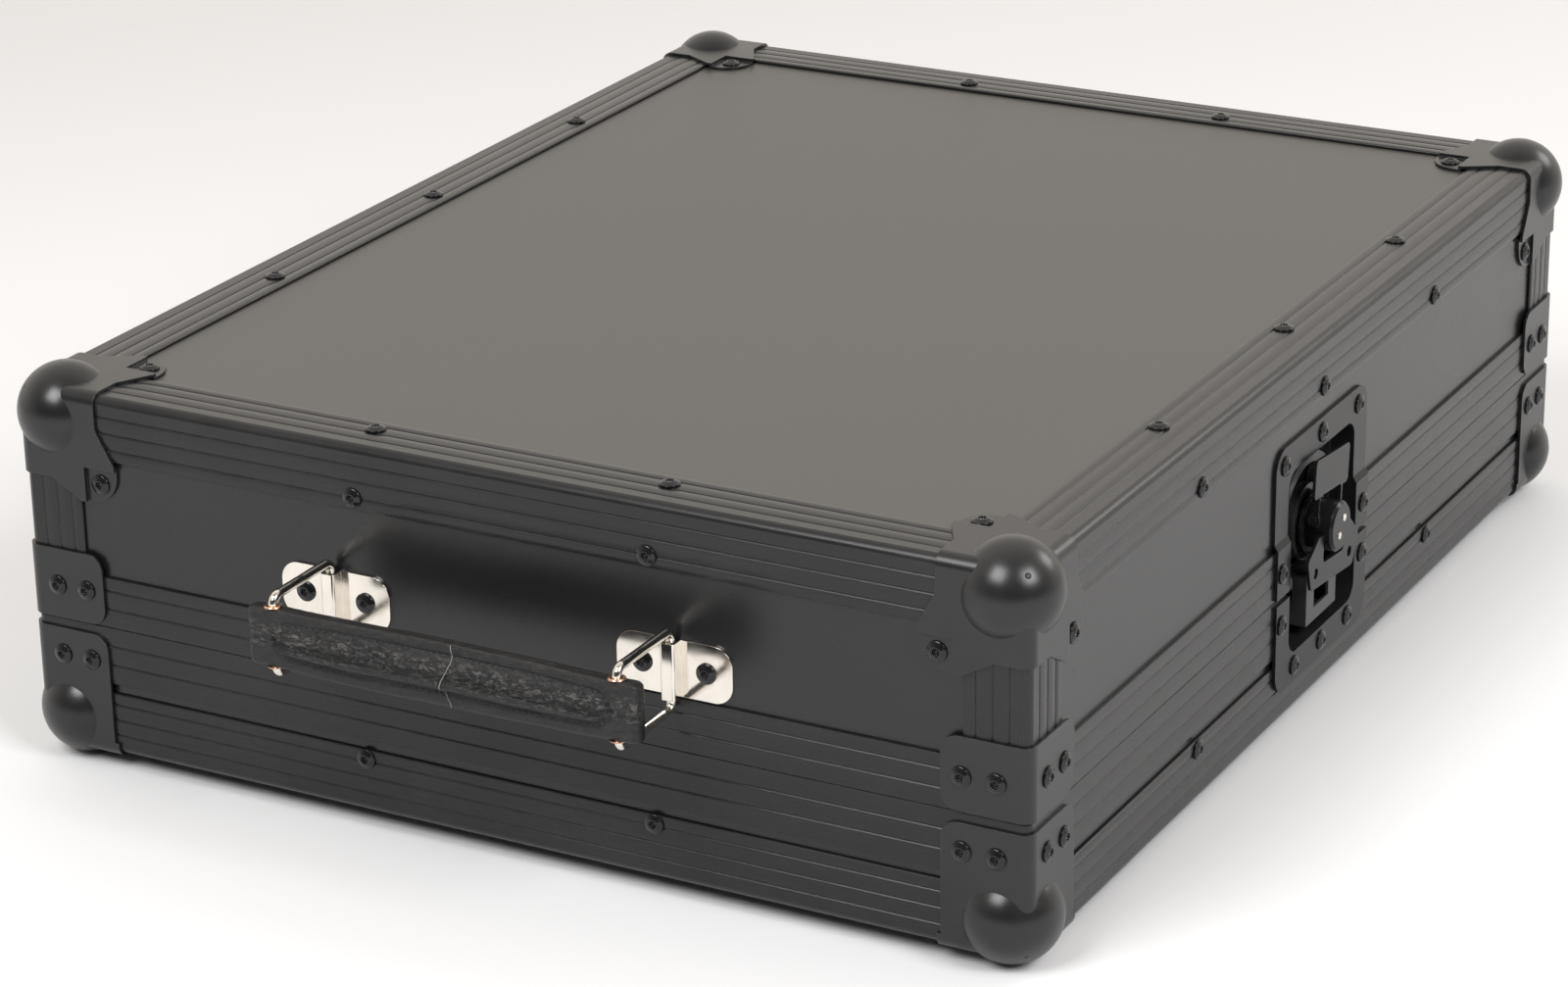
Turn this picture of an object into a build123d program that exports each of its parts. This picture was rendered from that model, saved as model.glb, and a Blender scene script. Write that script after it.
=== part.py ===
from build123d import *
import os
from math import cos, hypot, radians, sin, sqrt

os.makedirs("parts", exist_ok=True)

# Driving dimensions, in millimetres. The origin is the centre of the bottom panel's underside,
# +Z is up, the handle is on the front at -Y, and the latches are on the left and right.
case_width = 502.0
case_depth = 625.0
base_height = 63.0
lid_height = 112.0
skin = 1.8
panel_thickness = 7.0
panel_rebate = 0.2
rebate_margin = 0.5
corner_rounding = 4.5

# Grooved angle extrusion along the outer edges
edge_leg = 30.0
edge_grooves = (9.5, 17.1, 24.8)
groove_width = 1.1
groove_depth = 0.7
crown = 0.22

# Closing extrusions where the lid meets the base
lid_rim_height = 24.6
lid_rim_grooves = (9.2, 18.1)
base_rim_height = 27.8
base_rim_grooves = (9.2, 18.5)
web_thickness = 1.5
inner_flange = 1.5
inner_flange_height = 12.0
tongue_height = 5.0
tongue_clearance = 0.6
channel_depth = 6.0
parting_gap = 0.4

# Pressed steel corners
corner_sheet = 1.4
ball_radius = 22.5
ball_inset = 15.0
corner_leg = 42.0
corner_shoulder = 16.0
ear_reach = 51.0
ear_start = 32.0
ear_rounding = 14.0
ear_press = 33.0
corner_rivet = 42.0
brace_leg = 40.0
brace_foot = 1.0
brace_height = 34.0
brace_rounding = 8.0
base_corner_drop = 4.0
pair_near = 14.5
pair_far = 30.5
lid_pair_height = 17.0
base_pair_drop = 17.0

# Rivet heads and their rows
rivet_radius = 4.7
rivet_crown_radius = 3.1
rivet_height = 1.9
rivet_sides = 12
face_row_inset = 21.0
lid_wall_row_inset = 24.5
base_wall_row_inset = 26.3
width_row_end = 177.5
depth_row_end = 172.5

# Recessed latch, shared by both sides
dish_sheet = 1.5
dish_half_width = 55.0
dish_upper_height = 72.5
dish_lower_height = 47.0
dish_gap = 1.5
dish_rounding = 11.0
recess_half_width = 40.0
recess_upper_height = 58.0
recess_lower_height = 31.8
recess_depth = 12.0
recess_rounding = 9.0
recess_draft = 6.0
pan_sheet = 1.2
joggle_length = 3.0
joggle_start = 1.0
wall_cut_clearance = 0.6
spindle_height = 20.0
shaft_radius = 5.0
shaft_clearance = 0.08
drum_radius = 12.0
drum_front = 10.2
drum_back = -5.5
drum_chamfer = 1.3
dot_radius = 1.7
dot_height = 0.5
dot_offset = 4.5
dot_angle = 31.5
spindle_lean = -5.5
flange_radius = 15.0
flange_thickness = 1.5
collar_radius = 9.0
collar_thickness = 1.8
claw_back = -11.0
claw_front = -7.0
claw_hub_radius = 18.0
stud_distance = 24.0
stud_radius = 3.5
jaw_clearance = 0.5
jaw_width = 5.0
jaw_tip_angle = 14.0
jaw_travel = 180.0
jaw_over_travel = 10.0
jaw_root_angle = 22.0
wing_sheet = 1.5
wing_slot_clearance = 0.6
pin_radius = 1.5
pin_clearance = 0.06
pin_height = 5.0
lug_thickness = 1.5
lug_radius = 3.2
upper_wing_level = 2.5
upper_wing_half_width = 20.4
upper_wing_reach = 35.0
upper_wing_foot = 16.0
upper_wing_rounding = 2.5
upper_pin_level = 1.4
lower_wing_level = 5.5
lower_wing_top = -1.2
lower_wing_top_half = 19.0
lower_wing_waist = 10.4
lower_wing_waist_half = 31.0
lower_wing_bottom_half = 25.5
lower_wing_reach = 25.4
lower_wing_rounding = 3.0
lower_pin_level = 3.6
lower_hole_radius = 2.6
lower_hole_offset = 20.7
lower_hole_drop = 18.0
hood_half_width = 18.0
hood_front = 1.0
hood_sheet = 1.5
hood_bottom_drop = 25.5
hood_top_drop = 0.6
hood_flange_back = -6.2
hood_window_half = 9.0
hood_window_top_drop = 10.0
hood_window_bottom_drop = 19.0
hood_shelf_clearance = 1.0
latch_side_row = 49.0
latch_top_row = 65.0
latch_bottom_row = 38.6
latch_corner_row = 44.5
latch_corner_drop = 1.4
latch_upper_side = 13.0
latch_lower_side = 12.5
latch_bottom_pair = 32.5

# Carrying handle on the front of the lid
grip_length = 194.0
ring_end_inset = 11.75
handle_height = 38.5
plate_half_width = 28.0
plate_half_height = 13.0
plate_sheet = 1.2
plate_rounding = 9.0
plate_rivet_offset = 15.5
wire_radius = 2.1
wire_clearance = 0.1
wire_standoff = 0.3
channel_wall = 1.2
ring_reach = 44.0
ring_half_height = 18.0
ring_bend = 4.0
grip_end_thickness = 8.5
grip_middle_thickness = 15.0
grip_half_height = 13.8
grip_middle_half_height = 15.5
grip_end_length = 24.0

# Foam lining
foam_thickness = 10.0
foam_clearance = 0.4
pan_foam_clearance = 4.0

# Worked out from the dimensions above
half_w = case_width / 2
half_d = case_depth / 2
case_height = base_height + lid_height
bottom_z = -skin
parting_z = base_height - skin
top_z = bottom_z + case_height
panel_w = case_width - 2 * skin
panel_d = case_depth - 2 * skin
top_panel_z = top_z - skin
wall_inner = skin + panel_thickness
base_wall_top = parting_z - web_thickness
lid_wall_bottom = parting_z + channel_depth + web_thickness
lid_wall_top = top_panel_z - panel_thickness
lid_rim_top = parting_z + lid_rim_height
spindle_z = parting_z + spindle_height
handle_pitch = grip_length - 2 * ring_end_inset
recess_floor = -recess_depth
pan_half_width = recess_half_width + pan_sheet
wall_cut_half = pan_half_width + wall_cut_clearance
ends = (("front", -1), ("back", 1))
sides = (("left", -1), ("right", 1))


def grooved_face(place, start, start_depth, grooves, end):
    """Draw crowned strips with a sharp groove between them; place maps (along, depth)."""
    left = start
    left_depth = start_depth
    for groove in grooves:
        right = groove - groove_width / 2
        if left_depth == 0:
            Line(place(left, 0), place(right, crown))
        else:
            ThreePointArc(place(left, crown), place((left + right) / 2, 0), place(right, crown))
        Line(place(right, crown), place(groove, groove_depth))
        left = groove + groove_width / 2
        left_depth = crown
        Line(place(groove, groove_depth), place(left, crown))
    ThreePointArc(place(left, crown), place((left + end) / 2, 0), place(end, crown))


# Section of the edge angle, its outer corner at the origin and its legs along +X and +Y
with BuildSketch() as edge_section:
    with BuildLine():
        grooved_face(lambda along, depth: (along, depth), 0, 0, edge_grooves, edge_leg)
        ThreePointArc((edge_leg, crown), (edge_leg + skin / 4, (skin + crown) / 2), (edge_leg, skin))
        Polyline((edge_leg, skin), (skin, skin), (skin, edge_leg))
        ThreePointArc((crown, edge_leg), ((skin + crown) / 2, edge_leg + skin / 4), (skin, edge_leg))
        grooved_face(lambda along, depth: (depth, along), 0, 0, edge_grooves, edge_leg)
    make_face()

# Sections of the closing extrusions: +X runs inwards from the outer face, Y is height from the parting
inner_face = wall_inner + inner_flange
with BuildSketch() as lid_rim_section:
    with BuildLine():
        grooved_face(
            lambda along, depth: (depth, along), parting_gap, crown, lid_rim_grooves, lid_rim_height
        )
        Polyline(
            (crown, lid_rim_height),
            (skin, lid_rim_height),
            (skin, channel_depth + web_thickness),
            (wall_inner, channel_depth + web_thickness),
            (wall_inner, inner_flange_height),
            (inner_face, inner_flange_height),
            (inner_face, parting_gap),
            (wall_inner, parting_gap),
            (wall_inner, channel_depth),
            (skin, channel_depth),
            (skin, parting_gap),
            (crown, parting_gap),
        )
    make_face()

tongue_outer = skin + tongue_clearance
tongue_inner = wall_inner - tongue_clearance
tongue_taper = tongue_clearance / 2
with BuildSketch() as base_rim_section:
    with BuildLine():
        grooved_face(
            lambda along, depth: (depth, -along), 0, crown, base_rim_grooves, base_rim_height
        )
        Polyline(
            (crown, 0),
            (tongue_outer, 0),
            (tongue_outer + tongue_taper, tongue_height),
            (tongue_inner - tongue_taper, tongue_height),
            (tongue_inner, 0),
            (inner_face, 0),
            (inner_face, -inner_flange_height),
            (wall_inner, -inner_flange_height),
            (wall_inner, -web_thickness),
            (skin, -web_thickness),
            (skin, -base_rim_height),
            (crown, -base_rim_height),
        )
    make_face()

# The case's outer envelope, with every outer edge rounded
with BuildPart() as envelope:
    with Locations((0, 0, bottom_z)):
        Box(case_width, case_depth, case_height, align=(Align.CENTER, Align.CENTER, Align.MIN))
    fillet(envelope.edges(), radius=corner_rounding)

# Mitre wedges that end the front and left runs at 45 degrees in plan
mitre = edge_leg + skin
with BuildPart() as front_wedge:
    with BuildSketch(Plane.XY.offset(bottom_z)):
        with BuildLine():
            Polyline(
                (-half_w, -half_d),
                (half_w, -half_d),
                (half_w - mitre, -half_d + mitre),
                (-half_w + mitre, -half_d + mitre),
                close=True,
            )
        make_face()
    extrude(amount=case_height)

with BuildPart() as left_wedge:
    with BuildSketch(Plane.XY.offset(bottom_z)):
        with BuildLine():
            Polyline(
                (-half_w, -half_d),
                (-half_w + mitre, -half_d + mitre),
                (-half_w + mitre, half_d - mitre),
                (-half_w, half_d),
                close=True,
            )
        make_face()
    extrude(amount=case_height)

# The block cut out of walls, rims and foam on each side to make room for the latch recess
recess_top = parting_z + recess_upper_height
recess_bottom = parting_z - recess_lower_height
with BuildPart() as recess_cut:
    with Locations((-half_w, 0, (recess_top + recess_bottom) / 2)):
        Box(
            2 * (wall_inner + foam_thickness + pan_foam_clearance),
            2 * wall_cut_half,
            recess_top - recess_bottom + 2 * (pan_sheet + wall_cut_clearance),
        )


def front_run(section, height, flip):
    """A mitred run along the front; height is the section's zero line, flip turns it downwards."""
    along = (-1, 0, 0) if flip else (1, 0, 0)
    start = half_w if flip else -half_w
    with BuildPart() as run:
        with BuildSketch(Plane(origin=(start, -half_d, height), x_dir=(0, 1, 0), z_dir=along)):
            add(section)
        extrude(amount=case_width)
        add(front_wedge.part, mode=Mode.INTERSECT)
        add(envelope.part, mode=Mode.INTERSECT)
    return run.part


def left_run(section, height, flip, cut_for_latch):
    """A mitred run along the left, parted round the latch recess where it meets one."""
    along = (0, 1, 0) if flip else (0, -1, 0)
    start = -half_d if flip else half_d
    with BuildPart() as run:
        with BuildSketch(Plane(origin=(-half_w, start, height), x_dir=(1, 0, 0), z_dir=along)):
            add(section)
        extrude(amount=case_depth)
        add(left_wedge.part, mode=Mode.INTERSECT)
        add(envelope.part, mode=Mode.INTERSECT)
        if cut_for_latch:
            add(recess_cut.part, mode=Mode.SUBTRACT)
    return run.part


def write_front_back(shape, name):
    """Write a front shape and its mirror image at the back."""
    for end, sign in ends:
        with BuildPart() as piece:
            add(shape if sign < 0 else mirror(shape, about=Plane.XZ, mode=Mode.PRIVATE))
        piece.part.label = name + "_" + end
        export_step(piece.part, "parts/" + name + "_" + end + ".step")


def write_left_right(shape, name):
    """Write a left shape and its mirror image on the right."""
    for side, sign in sides:
        with BuildPart() as piece:
            add(shape if sign < 0 else mirror(shape, about=Plane.YZ, mode=Mode.PRIVATE))
        piece.part.label = name + "_" + side
        export_step(piece.part, "parts/" + name + "_" + side + ".step")


def write_four(shape, name):
    """Write a front left shape and its mirror images in the other three corners."""
    for end, end_sign in ends:
        for side, side_sign in sides:
            with BuildPart() as piece:
                turned = shape if side_sign < 0 else mirror(shape, about=Plane.YZ, mode=Mode.PRIVATE)
                add(turned if end_sign < 0 else mirror(turned, about=Plane.XZ, mode=Mode.PRIVATE))
            label = name + "_" + end + "_" + side
            piece.part.label = label
            export_step(piece.part, "parts/" + label + ".step")


def write_group(name, shapes):
    """Write several separate solids as one node."""
    group = Part(children=[Part(solid.wrapped) for shape in shapes for solid in shape.solids()])
    group.label = name
    export_step(group, "parts/" + name + ".step")


def in_all_corners(shape):
    """The shape and its mirror images in the other three corners."""
    right = mirror(shape, about=Plane.YZ, mode=Mode.PRIVATE)
    back = [mirror(item, about=Plane.XZ, mode=Mode.PRIVATE) for item in (shape, right)]
    return [shape, right] + back


# Extrusions
write_front_back(front_run(edge_section.sketch, bottom_z, False), "base_edge")
write_left_right(left_run(edge_section.sketch, bottom_z, False, True), "base_edge")
write_front_back(front_run(edge_section.sketch, top_z, True), "lid_edge")
write_left_right(left_run(edge_section.sketch, top_z, True, False), "lid_edge")
write_front_back(front_run(base_rim_section.sketch, parting_z, False), "base_rim")
write_left_right(left_run(base_rim_section.sketch, parting_z, False, True), "base_rim")
write_front_back(front_run(lid_rim_section.sketch, parting_z, False), "lid_rim")
write_left_right(left_run(lid_rim_section.sketch, parting_z, False, True), "lid_rim")

with BuildPart() as post:
    with BuildSketch(Plane(origin=(-half_w, -half_d, lid_rim_top))):
        add(edge_section.sketch)
    extrude(amount=top_z - edge_leg - skin / 4 - lid_rim_top)
    add(envelope.part, mode=Mode.INTERSECT)
write_group("lid_posts", in_all_corners(post.part))

# Plywood panels: the side walls run the whole depth and the front and back fit between them
# A shallow rebate runs round each large panel where the edges and the ears of the corners lie
free_margin = edge_leg + skin / 4 + rebate_margin
ear_margin = ear_reach + rebate_margin
with BuildSketch() as free_face:
    Rectangle(case_width - 2 * free_margin, case_depth - 2 * free_margin)
    with GridLocations(case_width, case_depth, 2, 2):
        RectangleRounded(2 * ear_margin, 2 * ear_margin, ear_rounding, mode=Mode.SUBTRACT)

with BuildPart() as base_panel:
    with Locations((0, 0, panel_rebate)):
        Box(
            panel_w,
            panel_d,
            panel_thickness - panel_rebate,
            align=(Align.CENTER, Align.CENTER, Align.MIN),
        )
    with BuildSketch():
        add(free_face.sketch)
    extrude(amount=panel_rebate)
base_panel.part.label = "base_panel"
export_step(base_panel.part, "parts/base_panel.step")

with BuildPart() as lid_panel:
    add(mirror(base_panel.part, about=Plane.XY, mode=Mode.PRIVATE).moved(Location((0, 0, top_panel_z))))
lid_panel.part.label = "lid_panel"
export_step(lid_panel.part, "parts/lid_panel.step")


def left_wall(low, high):
    """The left wall, cut away behind the latch recess."""
    with BuildPart() as wall:
        with Locations((-half_w + skin, 0, low)):
            Box(panel_thickness, panel_d, high - low, align=(Align.MIN, Align.CENTER, Align.MIN))
        add(recess_cut.part, mode=Mode.SUBTRACT)
    return wall.part


def front_wall(low, high):
    """The front wall, which fits between the side walls."""
    with BuildPart() as wall:
        with Locations((0, -half_d + skin, low)):
            Box(
                panel_w - 2 * panel_thickness,
                panel_thickness,
                high - low,
                align=(Align.CENTER, Align.MIN, Align.MIN),
            )
    return wall.part


write_left_right(left_wall(panel_thickness, base_wall_top), "base_wall")
write_front_back(front_wall(panel_thickness, base_wall_top), "base_wall")
write_left_right(left_wall(lid_wall_bottom, lid_wall_top), "lid_wall")
write_front_back(front_wall(lid_wall_bottom, lid_wall_top), "lid_wall")

# Pressed corners, drawn with the case's corner at the origin and the case towards +X, +Y and +Z
with BuildSketch() as ear_outline:
    with BuildLine():
        Polyline(
            (-corner_sheet, -corner_sheet),
            (corner_leg, -corner_sheet),
            (corner_leg, corner_shoulder),
            (ear_reach, ear_start),
            (ear_reach, ear_reach),
            (ear_start, ear_reach),
            (corner_shoulder, corner_leg),
            (-corner_sheet, corner_leg),
            close=True,
        )
    make_face()
    fillet(ear_outline.vertices().group_by(SortBy.DISTANCE)[-1], radius=ear_rounding)

with BuildSketch() as ear_patch:
    add(ear_outline.sketch)
    with Locations((ear_press, ear_press)):
        Rectangle(ear_reach, ear_reach, align=(Align.MIN, Align.MIN), mode=Mode.INTERSECT)

with BuildSketch() as ear_floor:
    add(ear_outline.sketch)
    with Locations((ear_press + corner_sheet, ear_press + corner_sheet)):
        Rectangle(ear_reach, ear_reach, align=(Align.MIN, Align.MIN), mode=Mode.INTERSECT)

with BuildSketch() as brace_outline:
    with Locations((-corner_sheet, 0)):
        Rectangle(brace_leg + corner_sheet, brace_height, align=(Align.MIN, Align.MIN))
    fillet(brace_outline.vertices().group_by(Axis.X)[-1], radius=brace_rounding)

base_corner_height = base_height - base_corner_drop
with BuildSketch() as base_leg_outline:
    with Locations((-corner_sheet, -corner_sheet)):
        Rectangle(
            brace_leg + corner_sheet, base_corner_height + corner_sheet, align=(Align.MIN, Align.MIN)
        )
    fillet(
        base_leg_outline.vertices().group_by(Axis.X)[-1].group_by(Axis.Y)[-1], radius=brace_rounding
    )

# How far each outline reaches inwards before the case is cut away
wrap = corner_rounding + 2 * corner_sheet
corner_planes = (Plane.XY, Plane.YZ, Plane.ZX)
corner_block = 2 * ear_reach

with BuildPart() as case_octant:
    Box(corner_block, corner_block, corner_block, align=(Align.MIN, Align.MIN, Align.MIN))
    fillet(case_octant.edges().sort_by_distance((0, 0, 0))[:3], radius=corner_rounding)

with BuildPart() as grown_octant:
    with Locations((-corner_sheet, -corner_sheet, -corner_sheet)):
        Box(corner_block, corner_block, corner_block, align=(Align.MIN, Align.MIN, Align.MIN))
    fillet(
        grown_octant.edges().sort_by_distance((-corner_sheet, -corner_sheet, -corner_sheet))[:3],
        radius=corner_rounding + corner_sheet,
    )


def side_legs(outline, low):
    """An outline wrapped onto the front and the left face, its foot at the height low."""
    with BuildPart() as legs:
        with BuildSketch(Plane(origin=(0, -corner_sheet, low), x_dir=(1, 0, 0), z_dir=(0, -1, 0))):
            add(outline)
        extrude(amount=-wrap)
        mirror(about=Plane(origin=(0, 0, 0), z_dir=(1, -1, 0)))
        add(grown_octant.part, mode=Mode.INTERSECT)
        add(case_octant.part, mode=Mode.SUBTRACT)
    return legs.part


def ball_corner(planes, legs):
    """A ball with an eared sheet on each plane; each ear is pressed down onto its panel."""
    with BuildPart() as corner:
        for plane in planes:
            with BuildSketch(plane.offset(-corner_sheet)):
                add(ear_outline.sketch)
            extrude(amount=wrap)
        add(grown_octant.part, mode=Mode.INTERSECT)
        with Locations((ball_inset, ball_inset, ball_inset)):
            Sphere(ball_radius)
        add(case_octant.part, mode=Mode.SUBTRACT)
        for plane in planes:
            with BuildSketch(plane.offset(-corner_sheet)):
                add(ear_patch.sketch)
            extrude(amount=corner_sheet + skin)
            with BuildSketch(plane.offset(-corner_sheet)):
                add(ear_floor.sketch)
            extrude(amount=skin, mode=Mode.SUBTRACT)
        if legs:
            add(legs)
    return corner.part


to_low_corner = Location((-half_w, -half_d, bottom_z))
to_top_corner = Location((-half_w, -half_d, top_z))
lid_corner = mirror(ball_corner(corner_planes, None), about=Plane.XY, mode=Mode.PRIVATE)
write_four(lid_corner.moved(to_top_corner), "lid_corner")
base_corner = ball_corner((Plane.XY,), side_legs(base_leg_outline.sketch, 0))
write_four(base_corner.moved(to_low_corner), "base_corner")
brace = side_legs(brace_outline.sketch, base_height + brace_foot)
write_group("lid_braces", in_all_corners(brace.moved(to_low_corner)))

# Latch recess on the right side, drawn with +X outwards from the outer face and Z from the parting
outwards = Plane(origin=(0, 0, 0), x_dir=(0, 1, 0), z_dir=(1, 0, 0))
face_frame = Location((half_w, 0, parting_z))
spindle_frame = Location((half_w, 0, spindle_z))
leaning_frame = Location((half_w, 0, spindle_z), (spindle_lean, 0, 0))


def write_latch_pair(shape, frame, name):
    """Write a latch piece of the right side and its mirror image on the left."""
    write_left_right(mirror(shape.moved(frame), about=Plane.YZ, mode=Mode.PRIVATE), name)


def rounded_mouth(half_width, half_height, rounding):
    """The rounded rectangle of a pan's mouth, centred on the parting line."""
    with BuildSketch() as mouth:
        Rectangle(2 * half_width, 2 * half_height)
        fillet(mouth.vertices(), radius=rounding)
    return mouth.sketch


def dish(flange_points, reach, pan_reach, panel_step):
    """The upper half of a latch dish: a flange on the case with a drafted pan pressed into it."""
    with BuildPart() as pan:
        with BuildSketch(outwards):
            add(rounded_mouth(pan_half_width, pan_reach + pan_sheet, recess_rounding + pan_sheet))
        extrude(amount=-(recess_depth + pan_sheet), taper=recess_draft)
        with Locations((0, 0, dish_gap)):
            Box(
                4 * recess_depth,
                4 * dish_half_width,
                4 * reach,
                align=(Align.CENTER, Align.CENTER, Align.MAX),
                mode=Mode.SUBTRACT,
            )
        if panel_step:
            with Locations((-skin, 0, panel_step)):
                Box(
                    recess_depth,
                    4 * dish_half_width,
                    reach,
                    align=(Align.MIN, Align.CENTER, Align.MIN),
                    mode=Mode.SUBTRACT,
                )
    with BuildPart() as half:
        with BuildSketch(Plane.XZ):
            with BuildLine():
                Polyline(*flange_points, close=True)
            make_face()
        extrude(amount=dish_half_width, both=True)
        with BuildSketch(outwards.offset(-dish_rounding)):
            add(rounded_mouth(dish_half_width, reach, dish_rounding))
        extrude(amount=2 * dish_rounding, mode=Mode.INTERSECT)
        add(pan.part)
        with BuildSketch(outwards):
            add(rounded_mouth(recess_half_width, pan_reach, recess_rounding))
        extrude(amount=-recess_depth, taper=recess_draft, mode=Mode.SUBTRACT)
        with BuildSketch(outwards.offset(-recess_draft / 60)):
            add(rounded_mouth(recess_half_width, pan_reach, recess_rounding))
        extrude(amount=2 * dish_sheet, mode=Mode.SUBTRACT)
        if panel_step:
            with Locations(Location((0, 0, spindle_height), (0, 90, 0))):
                Cylinder(shaft_radius + shaft_clearance, 4 * recess_depth, mode=Mode.SUBTRACT)
    return half.part


joggle_foot = lid_rim_height + joggle_start
joggle_top = joggle_foot + joggle_length
upper_flange = (
    (0, dish_gap),
    (0, joggle_foot),
    (-skin, joggle_top),
    (-skin, dish_upper_height),
    (dish_sheet - skin, dish_upper_height),
    (dish_sheet - skin, joggle_top),
    (dish_sheet, joggle_foot),
    (dish_sheet, dish_gap),
)
lower_flange = (
    (0, dish_gap),
    (0, dish_lower_height),
    (dish_sheet, dish_lower_height),
    (dish_sheet, dish_gap),
)
upper_dish = dish(upper_flange, dish_upper_height, recess_upper_height, joggle_top)
write_latch_pair(upper_dish, face_frame, "latch_dish_upper")
lower_dish = dish(lower_flange, dish_lower_height, recess_lower_height, 0)
lower_dish = mirror(lower_dish, about=Plane.XY, mode=Mode.PRIVATE)
write_latch_pair(lower_dish, face_frame, "latch_dish_lower")

# Keeper: a stud across the recess, under a formed hood that stands on the lower dish
jaw_inner = stud_distance + stud_radius + jaw_clearance
jaw_outer = jaw_inner + jaw_width
slot_inner = stud_distance - stud_radius - jaw_clearance
stud_height = spindle_height - stud_distance
jaw_low = spindle_height - jaw_outer - hood_shelf_clearance
with BuildPart() as keeper:
    with BuildSketch(outwards.offset(hood_front - hood_sheet)) as hood_face:
        with Locations((0, -hood_bottom_drop)):
            Rectangle(
                2 * hood_half_width, hood_bottom_drop - hood_top_drop, align=(Align.CENTER, Align.MIN)
            )
        with Locations((0, -hood_window_bottom_drop)):
            Rectangle(
                2 * hood_window_half,
                hood_window_bottom_drop - hood_window_top_drop,
                align=(Align.CENTER, Align.MIN),
                mode=Mode.SUBTRACT,
            )
    extrude(amount=hood_sheet)
    for y_low in (-hood_half_width, hood_half_width - hood_sheet):
        with Locations((hood_flange_back, y_low, -hood_bottom_drop)):
            Box(
                hood_front - hood_sheet - hood_flange_back,
                hood_sheet,
                hood_bottom_drop - hood_top_drop,
                align=(Align.MIN, Align.MIN, Align.MIN),
            )
        with Locations((recess_floor, y_low, -hood_bottom_drop)):
            Box(
                hood_front - hood_sheet - recess_floor,
                hood_sheet,
                hood_bottom_drop + jaw_low,
                align=(Align.MIN, Align.MIN, Align.MIN),
            )
    with Locations((recess_floor, 0, -hood_bottom_drop)):
        Box(
            hood_front - hood_sheet - recess_floor,
            2 * hood_half_width,
            hood_sheet,
            align=(Align.MIN, Align.CENTER, Align.MIN),
        )
    with Locations(Location((recess_floor, 0, stud_height), (0, 90, 0))):
        Cylinder(
            stud_radius,
            hood_front - hood_sheet - recess_floor,
            align=(Align.CENTER, Align.CENTER, Align.MIN),
        )
right_keeper = keeper.part.moved(face_frame)
write_group("latch_keepers", [right_keeper, mirror(right_keeper, about=Plane.YZ, mode=Mode.PRIVATE)])

# Spindle, drawn about the turning axis: shaft, flanged drum with two pin ends in its face, and a collar
collar_front = recess_floor - pan_sheet - shaft_clearance
lug_inner = drum_radius + wing_slot_clearance
lug_outer = lug_inner + lug_thickness
with BuildPart() as spindle:
    with Locations(Location((collar_front, 0, 0), (0, 90, 0))):
        Cylinder(
            collar_radius, collar_thickness, align=(Align.CENTER, Align.CENTER, Align.MAX)
        )
        Cylinder(
            shaft_radius, drum_back - collar_front, align=(Align.CENTER, Align.CENTER, Align.MIN)
        )
    with Locations(Location((drum_back, 0, 0), (0, 90, 0))):
        Cylinder(
            drum_radius, drum_front - drum_back, align=(Align.CENTER, Align.CENTER, Align.MIN)
        )
    chamfer(spindle.edges().group_by(Axis.X)[-1], length=drum_chamfer)
    with Locations(Location((drum_back, 0, 0), (0, 90, 0))):
        Cylinder(flange_radius, flange_thickness, align=(Align.CENTER, Align.CENTER, Align.MIN))
    dot_y = dot_offset * sin(radians(dot_angle))
    dot_z = dot_offset * cos(radians(dot_angle))
    for sign in (-1, 1):
        with Locations(Location((drum_front, sign * dot_y, sign * dot_z), (0, 90, 0))):
            Cylinder(dot_radius, dot_height, align=(Align.CENTER, Align.CENTER, Align.MIN))
    for level, height in ((upper_pin_level, pin_height), (lower_pin_level, -pin_height)):
        with Locations(Location((level, 0, height), (90, 0, 0))):
            Cylinder(pin_radius, 2 * lug_outer)
write_latch_pair(spindle.part, leaning_frame, "latch_spindle")


def around(radius, angle):
    """A point of the claw, its angle measured from straight down towards the front."""
    return (-radius * sin(radians(angle)), -radius * cos(radians(angle)))


# Claw: a hook round the stud's path, whose slot swallows the stud as the spindle turns
root_start = jaw_tip_angle + jaw_travel + jaw_over_travel
root_end = root_start + jaw_root_angle
with BuildPart() as claw:
    with BuildSketch(outwards.offset(claw_back)) as claw_outline:
        with BuildLine():
            jaw_middle = (jaw_tip_angle + root_end) / 2
            slot_middle = (jaw_tip_angle + root_start) / 2
            hub = claw_hub_radius - jaw_clearance
            ThreePointArc(
                around(jaw_outer, jaw_tip_angle),
                around(jaw_outer, jaw_middle),
                around(jaw_outer, root_end),
            )
            Line(around(jaw_outer, root_end), around(hub, root_end))
            Line(around(hub, root_end), around(hub, root_start))
            Line(around(hub, root_start), around(jaw_inner, root_start))
            ThreePointArc(
                around(jaw_inner, root_start),
                around(jaw_inner, slot_middle),
                around(jaw_inner, jaw_tip_angle),
            )
            Line(around(jaw_inner, jaw_tip_angle), around(jaw_outer, jaw_tip_angle))
        make_face()
        Circle(claw_hub_radius)
        Circle(shaft_radius, mode=Mode.SUBTRACT)
    extrude(amount=claw_front - claw_back)
write_latch_pair(claw.part, spindle_frame, "latch_claw")


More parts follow.
